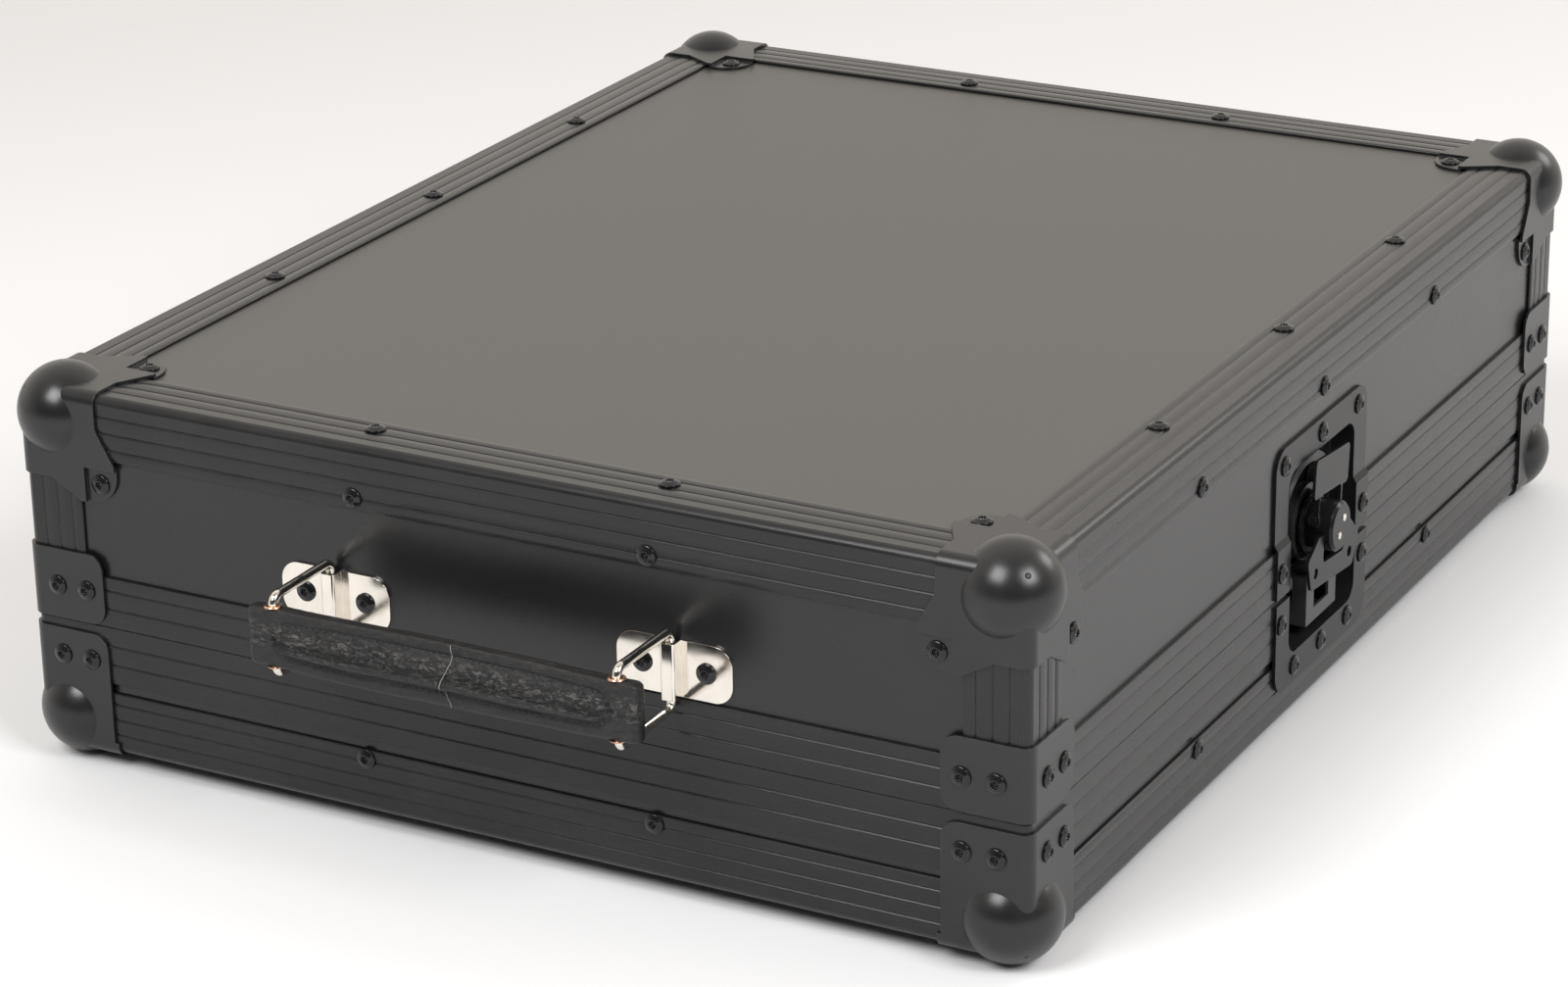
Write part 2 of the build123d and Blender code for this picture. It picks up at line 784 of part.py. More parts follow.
def wing(outline, level, pin_level, pin_side, arm):
    """A folding wing: a sheet with an arm each side of the drum, bored for the drum's pin."""
    with BuildPart() as leaf:
        with BuildSketch(outwards.offset(level)):
            add(outline)
        extrude(amount=wing_sheet)
        for y_middle in (-(lug_inner + lug_outer) / 2, (lug_inner + lug_outer) / 2):
            with Locations(Location((pin_level, y_middle, pin_side * pin_height), (90, 0, 0))):
                Cylinder(lug_radius, lug_thickness)
            with Locations((pin_level, y_middle, pin_side * (pin_height - lug_radius))):
                Box(
                    level - pin_level + wing_sheet,
                    lug_thickness,
                    arm + lug_radius - pin_height,
                    align=(Align.MIN, Align.CENTER, Align.MIN if pin_side > 0 else Align.MAX),
                )
        with Locations(Location((pin_level, 0, pin_side * pin_height), (90, 0, 0))):
            Cylinder(pin_radius + pin_clearance, 4 * drum_radius, mode=Mode.SUBTRACT)
    return leaf.part


def slot_reach(level, pin_level):
    """How deep a wing's slot is, so that its edge swings clear of the drum's rim."""
    rim = hypot(drum_front - pin_level, drum_radius - pin_height) + wing_slot_clearance
    return pin_height + sqrt(rim**2 - (level - pin_level) ** 2)


upper_slot = slot_reach(upper_wing_level, upper_pin_level)
lower_slot = slot_reach(lower_wing_level, lower_pin_level)
with BuildSketch() as upper_wing_outline:
    with Locations((0, upper_wing_foot)):
        Rectangle(
            2 * upper_wing_half_width,
            upper_wing_reach - upper_wing_foot,
            align=(Align.CENTER, Align.MIN),
        )
    fillet(upper_wing_outline.vertices(), radius=upper_wing_rounding)
    RectangleRounded(2 * lug_inner, 2 * upper_slot, upper_wing_rounding, mode=Mode.SUBTRACT)
upper_arm = upper_slot + upper_wing_rounding
upper_wing = wing(upper_wing_outline.sketch, upper_wing_level, upper_pin_level, 1, upper_arm)
write_latch_pair(upper_wing, leaning_frame, "latch_wing_upper")

with BuildSketch() as lower_wing_outline:
    with BuildLine():
        Polyline(
            (-lower_wing_top_half, lower_wing_top),
            (lower_wing_top_half, lower_wing_top),
            (lower_wing_waist_half, -lower_wing_waist),
            (lower_wing_bottom_half, -lower_wing_reach),
            (-lower_wing_bottom_half, -lower_wing_reach),
            (-lower_wing_waist_half, -lower_wing_waist),
            close=True,
        )
    make_face()
    fillet(lower_wing_outline.vertices(), radius=lower_wing_rounding)
    RectangleRounded(2 * lug_inner, 2 * lower_slot, upper_wing_rounding, mode=Mode.SUBTRACT)
    with Locations((-lower_hole_offset, -lower_hole_drop), (lower_hole_offset, -lower_hole_drop)):
        Circle(lower_hole_radius, mode=Mode.SUBTRACT)
lower_arm = lower_slot + upper_wing_rounding
lower_wing = wing(lower_wing_outline.sketch, lower_wing_level, lower_pin_level, -1, lower_arm)
write_latch_pair(lower_wing, leaning_frame, "latch_wing_lower")

# Carrying handle, drawn with -Y outwards from the lid's front face and Z from the plates' middle
handle_z = parting_z + handle_height
wire_axis = wire_standoff + wire_radius
channel_inner = wire_radius + wire_clearance
channel_outer = channel_inner + channel_wall
channel_front = wire_axis + wire_radius + wire_clearance
with BuildPart() as handle_plate:
    with Locations((0, skin - plate_sheet, 0)):
        Box(
            2 * plate_half_width,
            plate_sheet,
            2 * plate_half_height,
            align=(Align.CENTER, Align.MIN, Align.CENTER),
        )
    with Locations((0, skin, 0)):
        Box(
            2 * channel_outer,
            channel_front + channel_wall + skin,
            2 * plate_half_height,
            align=(Align.CENTER, Align.MAX, Align.CENTER),
        )
    fillet(handle_plate.edges().filter_by(Axis.Z).group_by(Axis.Y)[0], radius=channel_wall)
    with Locations((0, skin, 0)):
        Box(
            2 * channel_inner,
            channel_front + skin,
            2 * plate_half_height,
            align=(Align.CENTER, Align.MAX, Align.CENTER),
            mode=Mode.SUBTRACT,
        )
    with BuildSketch(Plane.XZ.offset(-skin)) as plate_outline:
        Rectangle(2 * plate_half_width, 2 * plate_half_height)
        fillet(plate_outline.vertices(), radius=plate_rounding)
    extrude(amount=2 * skin + channel_front + channel_wall, mode=Mode.INTERSECT)

with BuildPart() as ring:
    with BuildLine() as ring_path:
        FilletPolyline(
            (0, -wire_axis, -ring_half_height),
            (0, -wire_axis, ring_half_height),
            (0, -wire_axis - ring_reach, ring_half_height),
            (0, -wire_axis - ring_reach, -ring_half_height),
            radius=ring_bend,
            close=True,
        )
    with BuildSketch(Plane(origin=ring_path.line @ 0, z_dir=ring_path.line % 0)):
        Circle(wire_radius)
    sweep()

for side, sign in sides:
    spot = Location((sign * handle_pitch / 2, -half_d, handle_z))
    with BuildPart() as piece:
        add(handle_plate.part.moved(spot))
    piece.part.label = "handle_plate_" + side
    export_step(piece.part, "parts/handle_plate_" + side + ".step")
    with BuildPart() as piece:
        add(ring.part.moved(spot))
    piece.part.label = "handle_ring_" + side
    export_step(piece.part, "parts/handle_ring_" + side + ".step")

# Leather grip: wrapped ends round the rings' outer legs and a thicker padded middle
grip_y = -half_d - wire_axis - ring_reach
grip_half = grip_length / 2
grip_middle = grip_half - grip_end_length
with BuildPart() as grip:
    with BuildSketch(Plane.XY.offset(handle_z - grip_middle_half_height)):
        with BuildLine():
            for side, sign in sides:
                Polyline(
                    (sign * grip_middle, grip_y - grip_end_thickness / 2),
                    (sign * grip_half, grip_y - grip_end_thickness / 2),
                    (sign * grip_half, grip_y + grip_end_thickness / 2),
                    (sign * grip_middle, grip_y + grip_end_thickness / 2),
                )
            for sign in (-1, 1):
                ThreePointArc(
                    (-grip_middle, grip_y + sign * grip_end_thickness / 2),
                    (0, grip_y + sign * grip_middle_thickness / 2),
                    (grip_middle, grip_y + sign * grip_end_thickness / 2),
                )
        make_face()
    extrude(amount=2 * grip_middle_half_height)
    with BuildSketch(Plane.XZ.offset(-grip_y - grip_middle_thickness)):
        with BuildLine():
            for side, sign in sides:
                Polyline(
                    (sign * grip_middle, handle_z - grip_half_height),
                    (sign * grip_half, handle_z - grip_half_height),
                    (sign * grip_half, handle_z + grip_half_height),
                    (sign * grip_middle, handle_z + grip_half_height),
                )
            for sign in (-1, 1):
                ThreePointArc(
                    (-grip_middle, handle_z + sign * grip_half_height),
                    (0, handle_z + sign * grip_middle_half_height),
                    (grip_middle, handle_z + sign * grip_half_height),
                )
        make_face()
    extrude(amount=2 * grip_middle_thickness, mode=Mode.INTERSECT)
    with Locations(
        *[Location((sign * handle_pitch / 2, grip_y, handle_z)) for side, sign in sides]
    ):
        Cylinder(
            wire_radius + wire_clearance, 4 * grip_middle_half_height, mode=Mode.SUBTRACT
        )
grip.part.label = "handle_grip"
export_step(grip.part, "parts/handle_grip.step")


# Foam lining: strips against the walls, clear of the rims, and a sheet between them on the panel
def lining(sheet_low, strip_low, strip_high):
    """One foam sheet and four strips, the side ones cut away round the latch pans."""
    room_w = case_width - 2 * wall_inner
    room_d = case_depth - 2 * wall_inner
    with BuildPart() as sheet:
        with Locations((0, 0, sheet_low)):
            Box(
                room_w - 2 * foam_thickness,
                room_d - 2 * foam_thickness,
                foam_thickness,
                align=(Align.CENTER, Align.CENTER, Align.MIN),
            )
    with BuildPart() as left_strip:
        with Locations((-room_w / 2, 0, strip_low)):
            Box(
                foam_thickness,
                room_d,
                strip_high - strip_low,
                align=(Align.MIN, Align.CENTER, Align.MIN),
            )
        add(recess_cut.part, mode=Mode.SUBTRACT)
    with BuildPart() as front_strip:
        with Locations((0, -room_d / 2, strip_low)):
            Box(
                room_w - 2 * foam_thickness,
                foam_thickness,
                strip_high - strip_low,
                align=(Align.CENTER, Align.MIN, Align.MIN),
            )
    return [
        sheet.part,
        left_strip.part,
        mirror(left_strip.part, about=Plane.YZ, mode=Mode.PRIVATE),
        front_strip.part,
        mirror(front_strip.part, about=Plane.XZ, mode=Mode.PRIVATE),
    ]


base_strip_high = parting_z - inner_flange_height - foam_clearance
write_group("base_foam", lining(panel_thickness, panel_thickness, base_strip_high))
lid_sheet_low = lid_wall_top - foam_thickness
lid_strip_low = parting_z + inner_flange_height + foam_clearance
write_group("lid_foam", lining(lid_sheet_low, lid_strip_low, lid_wall_top))

# Rivet heads
with BuildPart() as rivet_head:
    with BuildSketch():
        RegularPolygon(rivet_radius, rivet_sides)
    with BuildSketch(Plane.XY.offset(rivet_height)):
        RegularPolygon(rivet_crown_radius, rivet_sides)
    loft()


def rivets(outward, spots):
    """Rivet heads on one face, each spot a point of the surface it clamps."""
    return [rivet_head.part.moved(Plane(origin=spot, z_dir=outward).location) for spot in spots]


base_rivets = []
lid_rivets = []
width_row = [sign * (half_w - width_row_end) for sign in (-1, 1)]
depth_ends = [sign * (half_d - depth_row_end) for sign in (-1, 1)]
depth_row = [depth_ends[0], 0, depth_ends[1]]
ear_spot = corner_rivet
pair_out = half_w - pair_near, half_w - pair_far
pair_along = half_d - pair_near, half_d - pair_far
lid_pair_z = parting_z + lid_pair_height
base_pair_z = parting_z - base_pair_drop
lid_row_z = top_z - lid_wall_row_inset
base_row_z = bottom_z + base_wall_row_inset
ear_level = skin - corner_sheet
for sign in (-1, 1):
    front = (0, sign, 0)
    side = (sign, 0, 0)
    face_y = sign * half_d
    face_x = sign * half_w
    row_y = sign * (half_d - face_row_inset)
    row_x = sign * (half_w - face_row_inset)
    lid_rivets += rivets((0, 0, 1), [(x, row_y, top_z) for x in width_row])
    lid_rivets += rivets((0, 0, 1), [(row_x, y, top_z) for y in depth_row])
    base_rivets += rivets((0, 0, -1), [(x, row_y, bottom_z) for x in width_row])
    base_rivets += rivets((0, 0, -1), [(row_x, y, bottom_z) for y in depth_row])
    lid_rivets += rivets(front, [(x, face_y, lid_row_z) for x in width_row])
    lid_rivets += rivets(side, [(face_x, y, lid_row_z) for y in depth_row])
    base_rivets += rivets(front, [(x, face_y, base_row_z) for x in width_row])
    base_rivets += rivets(side, [(face_x, y, base_row_z) for y in depth_ends])
    for other in (-1, 1):
        ear_x = other * (half_w - ear_spot)
        ear_y = other * (half_d - ear_spot)
        lid_rivets += rivets(front, [(ear_x, sign * (half_d - ear_level), top_z - ear_spot)])
        lid_rivets += rivets(side, [(sign * (half_w - ear_level), ear_y, top_z - ear_spot)])
        ear_corner = (ear_x, sign * (half_d - ear_spot))
        lid_rivets += rivets((0, 0, 1), [(*ear_corner, top_z - ear_level)])
        base_rivets += rivets((0, 0, -1), [(*ear_corner, bottom_z + ear_level)])
        brace_y = sign * (half_d + corner_sheet)
        brace_x = sign * (half_w + corner_sheet)
        lid_rivets += rivets(front, [(other * x, brace_y, lid_pair_z) for x in pair_out])
        lid_rivets += rivets(side, [(brace_x, other * y, lid_pair_z) for y in pair_along])
        base_rivets += rivets(front, [(other * x, brace_y, base_pair_z) for x in pair_out])
        base_rivets += rivets(side, [(brace_x, other * y, base_pair_z) for y in pair_along])
        plate_x = sign * handle_pitch / 2 + other * plate_rivet_offset
        plate_y = -half_d + skin - plate_sheet
        lid_rivets += rivets((0, -1, 0), [(plate_x, plate_y, handle_z)])
        dish_x = sign * (half_w + dish_sheet)
        dish_y = other * latch_side_row
        lid_rivets += rivets(side, [(dish_x, dish_y, parting_z + latch_upper_side)])
        base_rivets += rivets(side, [(dish_x, dish_y, parting_z - latch_lower_side)])
        bottom_y = other * latch_bottom_pair
        base_rivets += rivets(side, [(dish_x, bottom_y, parting_z - latch_bottom_row)])
        top_y = other * latch_corner_row
        high_x = sign * (half_w + dish_sheet - skin)
        lid_rivets += rivets(side, [(high_x, top_y, parting_z + latch_top_row - latch_corner_drop)])
    base_rivets += rivets(side, [(dish_x, 0, parting_z - latch_bottom_row)])
    lid_rivets += rivets(side, [(high_x, 0, parting_z + latch_top_row)])
write_group("base_rivets", base_rivets)
write_group("lid_rivets", lid_rivets)
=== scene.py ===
import math

import bmesh
import bpy
from mathutils import Matrix, Vector, noise


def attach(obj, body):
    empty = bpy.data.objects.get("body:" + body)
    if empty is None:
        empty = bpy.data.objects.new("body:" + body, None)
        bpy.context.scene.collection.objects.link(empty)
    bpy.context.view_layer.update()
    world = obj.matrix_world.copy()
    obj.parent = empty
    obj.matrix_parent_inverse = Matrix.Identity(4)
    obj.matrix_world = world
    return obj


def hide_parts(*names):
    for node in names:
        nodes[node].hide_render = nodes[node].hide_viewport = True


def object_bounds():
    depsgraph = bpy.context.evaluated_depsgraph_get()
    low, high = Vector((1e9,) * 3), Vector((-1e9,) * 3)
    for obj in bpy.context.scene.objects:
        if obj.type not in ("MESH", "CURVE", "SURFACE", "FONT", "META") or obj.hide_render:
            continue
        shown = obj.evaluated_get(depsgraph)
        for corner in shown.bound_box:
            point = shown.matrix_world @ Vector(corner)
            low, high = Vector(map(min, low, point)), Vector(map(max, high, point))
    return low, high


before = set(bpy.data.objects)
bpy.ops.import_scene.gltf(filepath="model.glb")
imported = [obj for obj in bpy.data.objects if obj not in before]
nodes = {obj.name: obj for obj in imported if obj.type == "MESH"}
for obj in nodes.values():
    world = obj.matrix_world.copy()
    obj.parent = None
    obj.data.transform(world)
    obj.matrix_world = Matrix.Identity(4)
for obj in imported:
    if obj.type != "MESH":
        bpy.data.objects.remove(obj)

cad_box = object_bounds()
mm = 0.001
full_turn = 2 * math.pi
weld_distance = 1e-6
sides = (("left", -1), ("right", 1))

# Sizes of the solids, in millimetres
half_width, half_depth = 251.0, 312.5
case_low, parting, case_top = -1.8, 61.2, 173.2
handle_z = parting + 38.5
handle_pitch = 170.5

# Camera: fitted to the straight lines of the case
photo_width = 1600
focal_pixels, shift_pixels = 4570, -3
camera_azimuth = math.radians(28.74)
camera_elevation = math.radians(21.69)
camera_roll = math.radians(-0.99)
camera_target = Vector((-17.7, -23.0, 57.0)) * mm
camera_distance = 2181 * mm
nearest, farthest = 0.05, 60
back = Vector(
    (
        math.sin(camera_azimuth) * math.cos(camera_elevation),
        -math.cos(camera_azimuth) * math.cos(camera_elevation),
        math.sin(camera_elevation),
    )
)
level = Vector((math.cos(camera_azimuth), math.sin(camera_azimuth), 0))
upright = back.cross(level)
right = level * math.cos(camera_roll) + upright * math.sin(camera_roll)
up = upright * math.cos(camera_roll) - level * math.sin(camera_roll)
camera_data = bpy.data.cameras.new("camera")
camera_data.lens = focal_pixels / photo_width * camera_data.sensor_width
camera_data.shift_x = shift_pixels / photo_width
camera_data.clip_start, camera_data.clip_end = nearest, farthest
camera = bpy.data.objects.new("camera", camera_data)
bpy.context.scene.collection.objects.link(camera)
placed = Matrix((right, up, back)).transposed().to_4x4()
placed.translation = camera_target + back * camera_distance
camera.matrix_world = placed
bpy.context.scene.camera = camera

# Materials: most values of a noise texture lie in noise_span
noise_span, rising, falling = (0.3, 0.7), (0.0, 1.0), (1.0, 0.0)


class Surface:
    """A Principled material and the few node chains that the case's finishes share."""

    def __init__(self, name, **fixed):
        self.material = bpy.data.materials.new(name)
        self.material.use_nodes = True
        self.tree = self.material.node_tree
        self.shader = self.tree.nodes["Principled BSDF"]
        self.where = self.tree.nodes.new("ShaderNodeTexCoord").outputs["Object"]
        self.normal = None
        for socket, value in fixed.items():
            self.shader.inputs[socket.replace("_", " ")].default_value = value

    def node(self, kind, inputs=None, **settings):
        made = self.tree.nodes.new("ShaderNode" + kind)
        for key, value in settings.items():
            setattr(made, key, value)
        for key, value in (inputs or {}).items():
            if isinstance(value, bpy.types.NodeSocket):
                self.tree.links.new(value, made.inputs[key])
            else:
                made.inputs[key].default_value = value
        return made

    def grain(self, scale, detail, roughness, stretch=None, distortion=0.0):
        place = self.where
        if stretch:
            place = self.node("Mapping", {"Vector": place, "Scale": stretch}).outputs[0]
        values = {
            "Vector": place,
            "Scale": scale,
            "Detail": detail,
            "Roughness": roughness,
            "Distortion": distortion,
        }
        return self.node("TexNoise", values).outputs["Fac"]

    def cells(self, scale, warp=None):
        """Distance to the edge of the cells of a Voronoi texture."""
        place = self.where
        if warp is not None:
            place = self.node("VectorMath", {0: place, 1: warp}, operation="ADD").outputs[0]
        values = {"Vector": place, "Scale": scale}
        return self.node("TexVoronoi", values, feature="DISTANCE_TO_EDGE").outputs["Distance"]

    def spread(self, value, taken=noise_span, given=rising):
        """Maps the span taken to the span given, and holds the ends beyond it."""
        values = {
            "Value": value,
            "From Min": taken[0],
            "From Max": taken[1],
            "To Min": given[0],
            "To Max": given[1],
        }
        return self.node("MapRange", values).outputs[0]

    def times(self, one, other):
        return self.node("Math", {0: one, 1: other}, operation="MULTIPLY").outputs[0]

    def plus(self, one, other):
        return self.node("Math", {0: one, 1: other}, operation="ADD").outputs[0]

    def blend(self, share, one, other):
        values = {0: share, 6: one, 7: other}
        return self.node("Mix", values, data_type="RGBA").outputs[2]

    def bump(self, height, depth, strength):
        values = {"Height": height, "Distance": depth, "Strength": strength}
        if self.normal is not None:
            values["Normal"] = self.normal
        self.normal = self.node("Bump", values).outputs[0]
        self.tree.links.new(self.normal, self.shader.inputs["Normal"])

    def soften(self, radius):
        """Rounds the look of sharp edges, and gives how much of an edge each point is."""
        rounded = self.node("Bevel", {"Radius": radius}, samples=6).outputs[0]
        flat = self.node("NewGeometry").outputs["Normal"]
        pair = {0: rounded, 1: flat}
        match = self.node("VectorMath", pair, operation="DOT_PRODUCT").outputs["Value"]
        self.normal = rounded
        self.tree.links.new(rounded, self.shader.inputs["Normal"])
        return self.spread(match, (0.995, 0.86))

    def put(self, socket, value):
        self.tree.links.new(value, self.shader.inputs[socket])


def black(value):
    """A near black with a trace of blue."""
    return (value, value, value + 0.0005, 1)


def worn(surface, edge, color, bare, amount):
    """Colour with the finish rubbed thinner along the edges, unevenly."""
    patches = surface.grain(scale=70, detail=6, roughness=0.7)
    rubbed = surface.spread(patches, (0.46, 0.66), (0.0, amount))
    return surface.blend(surface.times(edge, rubbed), color, bare)


def black_extrusion(axis):
    """Satin black anodised aluminium with the fine draw lines of the die along one axis."""
    dark, light = black(0.008), (0.015, 0.0145, 0.0145, 1)
    drawn, bare = (0.024, 0.024, 0.025, 1), (0.12, 0.12, 0.12, 1)
    along_axis, across_axis = 0.012, 1.0
    made = Surface("extrusion_along_" + axis, Specular_IOR_Level=0.36)
    edge = made.soften(0.45 * mm)
    stretch = tuple(along_axis if letter == axis else across_axis for letter in "xyz")
    lines = made.grain(scale=5200, detail=3, roughness=0.6, stretch=stretch)
    cloud = made.grain(scale=14, detail=4, roughness=0.6)
    base = made.blend(made.spread(cloud), dark, light)
    base = made.blend(made.spread(lines, (0.35, 0.75), (0.0, 0.4)), base, drawn)
    made.put("Base Color", worn(made, edge, base, bare, amount=0.35))
    rough_lines = made.spread(lines, given=(0.23, 0.28))
    made.put("Roughness", made.plus(rough_lines, made.spread(cloud, given=(-0.03, 0.04))))
    made.bump(lines, depth=0.006 * mm, strength=0.4)
    return made.material


def laminate(name, dark, light, rough):
    """Satin black laminate: a fine pebbled skin with faint handling marks and dust."""
    speck = (0.16, 0.155, 0.15, 1)
    made = Surface(name, Specular_IOR_Level=0.5)
    pebbles = made.grain(scale=1900, detail=2, roughness=0.5)
    cloud = made.grain(scale=7, detail=5, roughness=0.6)
    marks = made.grain(scale=260, detail=6, roughness=0.72, stretch=(1.0, 0.06, 1.0))
    base = made.blend(made.spread(cloud), dark, light)
    dust = made.grain(scale=900, detail=2, roughness=0.9)
    made.put("Base Color", made.blend(made.spread(dust, (0.735, 0.78), (0.0, 0.5)), base, speck))
    smoothed = made.spread(marks, (0.62, 0.75), (0.0, -0.05))
    made.put("Roughness", made.plus(made.spread(cloud, given=rough), smoothed))
    made.bump(pebbles, depth=0.03 * mm, strength=0.55)
    return made.material


def coated_steel(name, dark, light, rough, wear, bevel, gloss):
    """Black coat over pressed steel, with a slight orange peel and rubbed edges."""
    bare = (0.2, 0.195, 0.185, 1)
    made = Surface(name, Specular_IOR_Level=gloss)
    edge = made.soften(bevel * mm)
    peel = made.grain(scale=1300, detail=2, roughness=0.5)
    cloud = made.grain(scale=32, detail=5, roughness=0.62)
    base = made.blend(made.spread(cloud), dark, light)
    made.put("Base Color", worn(made, edge, base, bare, wear))
    made.put("Roughness", made.spread(cloud, (0.3, 0.72), rough))
    made.bump(peel, depth=0.025 * mm, strength=0.5)
    return made.material


def nickel():
    """Bright nickel plate with soft polishing haze and fine scratches."""
    bright, dull = (0.83, 0.79, 0.73, 1), (0.74, 0.70, 0.64, 1)
    made = Surface("nickel_plate", Metallic=1.0)
    made.soften(0.3 * mm)
    haze = made.grain(scale=90, detail=5, roughness=0.65)
    scratches = made.grain(scale=2600, detail=3, roughness=0.7, stretch=(1.0, 1.0, 0.05))
    made.put("Base Color", made.blend(made.spread(haze), bright, dull))
    rough_haze = made.spread(haze, (0.3, 0.75), (0.08, 0.17))
    made.put("Roughness", made.plus(rough_haze, made.spread(scratches, (0.6, 0.8), (0.0, 0.08))))
    made.bump(scratches, depth=0.004 * mm, strength=0.4)
    return made.material


def copper():
    """Copper with a dull bloom, without any bump."""
    bright, dull = (0.80, 0.52, 0.38, 1), (0.62, 0.36, 0.25, 1)
    made = Surface("copper_washer", Metallic=1.0)
    haze = made.grain(scale=700, detail=4, roughness=0.6)
    made.put("Base Color", made.blend(made.spread(haze), bright, dull))
    made.put("Roughness", made.spread(haze, given=(0.2, 0.35)))
    return made.material


# The heights between which hands have rubbed the grip and its crease peaks get a painted sheen,
# and how softly that starts and ends
rubbed_sheen_band_low, rubbed_sheen_band_high = (handle_z - 3.0) * mm, (handle_z + 6.5) * mm
rubbed_sheen_band_low_blur, rubbed_sheen_band_high_blur = 1.5 * mm, 2 * mm


def leather():
    """Black leather: small raised cells, finer pores and long soft creases; the crease peaks near
    the top are lighter, as rubbed wear and a painted sheen.
    """
    dark, light = black(0.005), (0.010, 0.0095, 0.0095, 1)
    rubbed_sheen_color = (0.10, 0.098, 0.095, 1)
    made = Surface("black_leather", Specular_IOR_Level=0.4)
    bends = {"Vector": made.where, "Scale": 420.0, "Detail": 2.0}
    bend = made.node("TexNoise", bends).outputs["Color"]
    bent = made.node("VectorMath", {0: bend, "Scale": 0.0012}, operation="SCALE").outputs[0]
    cell = made.cells(1150, warp=bent)
    small = made.cells(2700, warp=bent)
    creases = made.grain(620, detail=3, roughness=0.6, stretch=(0.45, 1.0, 1.0), distortion=1.0)
    cloud = made.grain(scale=60, detail=4, roughness=0.6)
    height = made.node("SeparateXYZ", {"Vector": made.where}).outputs["Z"]
    above = made.spread(height, (rubbed_sheen_band_low - rubbed_sheen_band_low_blur, rubbed_sheen_band_low + rubbed_sheen_band_low_blur))
    below = made.spread(height, (rubbed_sheen_band_high - rubbed_sheen_band_high_blur, rubbed_sheen_band_high + rubbed_sheen_band_high_blur), falling)
    rubbed_sheen_band = made.times(above, below)
    # The crease peaks are painted lighter, most between those heights: rubbed wear and a painted
    # sheen
    wear_and_sheen_share = made.plus(made.times(rubbed_sheen_band, 0.85), 0.12)
    rubbed = made.times(made.spread(creases, (0.5, 0.64)), wear_and_sheen_share)
    base = made.blend(made.spread(cloud), dark, light)
    made.put("Base Color", made.blend(rubbed, base, rubbed_sheen_color))
    polish = made.times(rubbed_sheen_band, -0.08)
    made.put("Roughness", made.plus(made.spread(cloud, given=(0.32, 0.42)), polish))
    crease_share = made.plus(made.times(rubbed_sheen_band, 0.8), 0.2)
    made.bump(made.times(creases, crease_share), depth=1.8 * mm, strength=1.0)
    made.bump(made.spread(cell, (0.02, 0.24)), depth=0.16 * mm, strength=0.8)
    made.bump(made.spread(small, (0.0, 0.2)), depth=0.04 * mm, strength=0.5)
    return made.material


def thread(name, dark, light):
    """Twisted thread."""
    made = Surface(name, Sheen_Weight=0.2)
    twist = made.grain(scale=3800, detail=2, roughness=0.5)
    made.put("Base Color", made.blend(made.spread(twist, (0.35, 0.65)), dark, light))
    made.put("Roughness", made.spread(twist, given=(0.6, 0.8)))
    made.bump(twist, depth=0.08 * mm, strength=0.6)
    return made.material


def open_foam():
    """Charcoal open-cell foam: two sizes of pores, darker in their hollows as painted shade, with
    paler ribs between them.
    """
    dark, light = (0.02, 0.02, 0.021, 1), (0.032, 0.032, 0.033, 1)
    rib_color = (0.075, 0.075, 0.078, 1)
    made = Surface("charcoal_foam", Specular_IOR_Level=0.2, Sheen_Weight=0.15)
    pores = made.spread(made.cells(700), (0.0, 0.28), falling)
    fine = made.spread(made.cells(1500), (0.0, 0.25), falling)
    cloud = made.grain(scale=40, detail=4, roughness=0.6)
    ribs = made.plus(made.times(pores, 0.6), made.times(fine, 0.4))
    base = made.blend(made.spread(cloud), dark, light)
    # The cell hollows keep the darker base and the ribs get the paler colour: painted shade in
    # the pores
    made.put("Base Color", made.blend(ribs, base, rib_color))
    made.put("Roughness", made.spread(fine, rising, (0.95, 0.82)))
    made.bump(ribs, depth=0.5 * mm, strength=0.8)
    return made.material


def pale_floor():
    """Matt studio paper, almost white."""
    made = Surface("pale_floor")
    sweep = made.grain(scale=1.1, detail=3, roughness=0.5)
    made.put("Base Color", made.blend(sweep, (0.70, 0.70, 0.71, 1), (0.73, 0.73, 0.735, 1)))
    made.put("Roughness", made.spread(sweep, given=(0.75, 0.85)))
    return made.material


extrusion = {axis: black_extrusion(axis) for axis in "xyz"}
panel_black = laminate("laminate_wall", black(0.006), black(0.010), rough=(0.25, 0.31))
# The top panel is the walls' black laminate given a lighter, warmer colour: painted light for how
# brightly the top face catches the light
top_panel_painted_lighter = laminate(
    "laminate_top_painted_lighter", (0.040, 0.037, 0.033, 1), (0.046, 0.042, 0.038, 1), rough=(0.38, 0.40)
)
corner_coat = coated_steel(
    "corner_coat", black(0.007), black(0.011), rough=(0.27, 0.33), wear=0.3, bevel=0.35, gloss=0.5
)
latch_coat = coated_steel(
    "latch_coat", black(0.007), black(0.013), rough=(0.17, 0.25), wear=0.6, bevel=0.4, gloss=0.18
)
claw_coat = coated_steel(
    "claw_coat",
    (0.02, 0.02, 0.021, 1),
    (0.04, 0.04, 0.04, 1),
    rough=(0.22, 0.36),
    wear=0.8,
    bevel=0.25,
    gloss=0.3,
)
rivet_black = coated_steel(
    "rivet_black", black(0.006), black(0.010), rough=(0.12, 0.18), wear=0.5, bevel=0.15, gloss=0.4
)
nickel_plate = nickel()
copper_ring = copper()
black_leather = leather()
black_thread = thread("black_thread", (0.012, 0.012, 0.013, 1), (0.03, 0.03, 0.031, 1))
pale_thread = thread("pale_thread", (0.2, 0.2, 0.2, 1), (0.34, 0.34, 0.33, 1))
charcoal_foam = open_foam()


def paint(thing, material):
    thing.data.materials.clear()
    thing.data.materials.append(material)


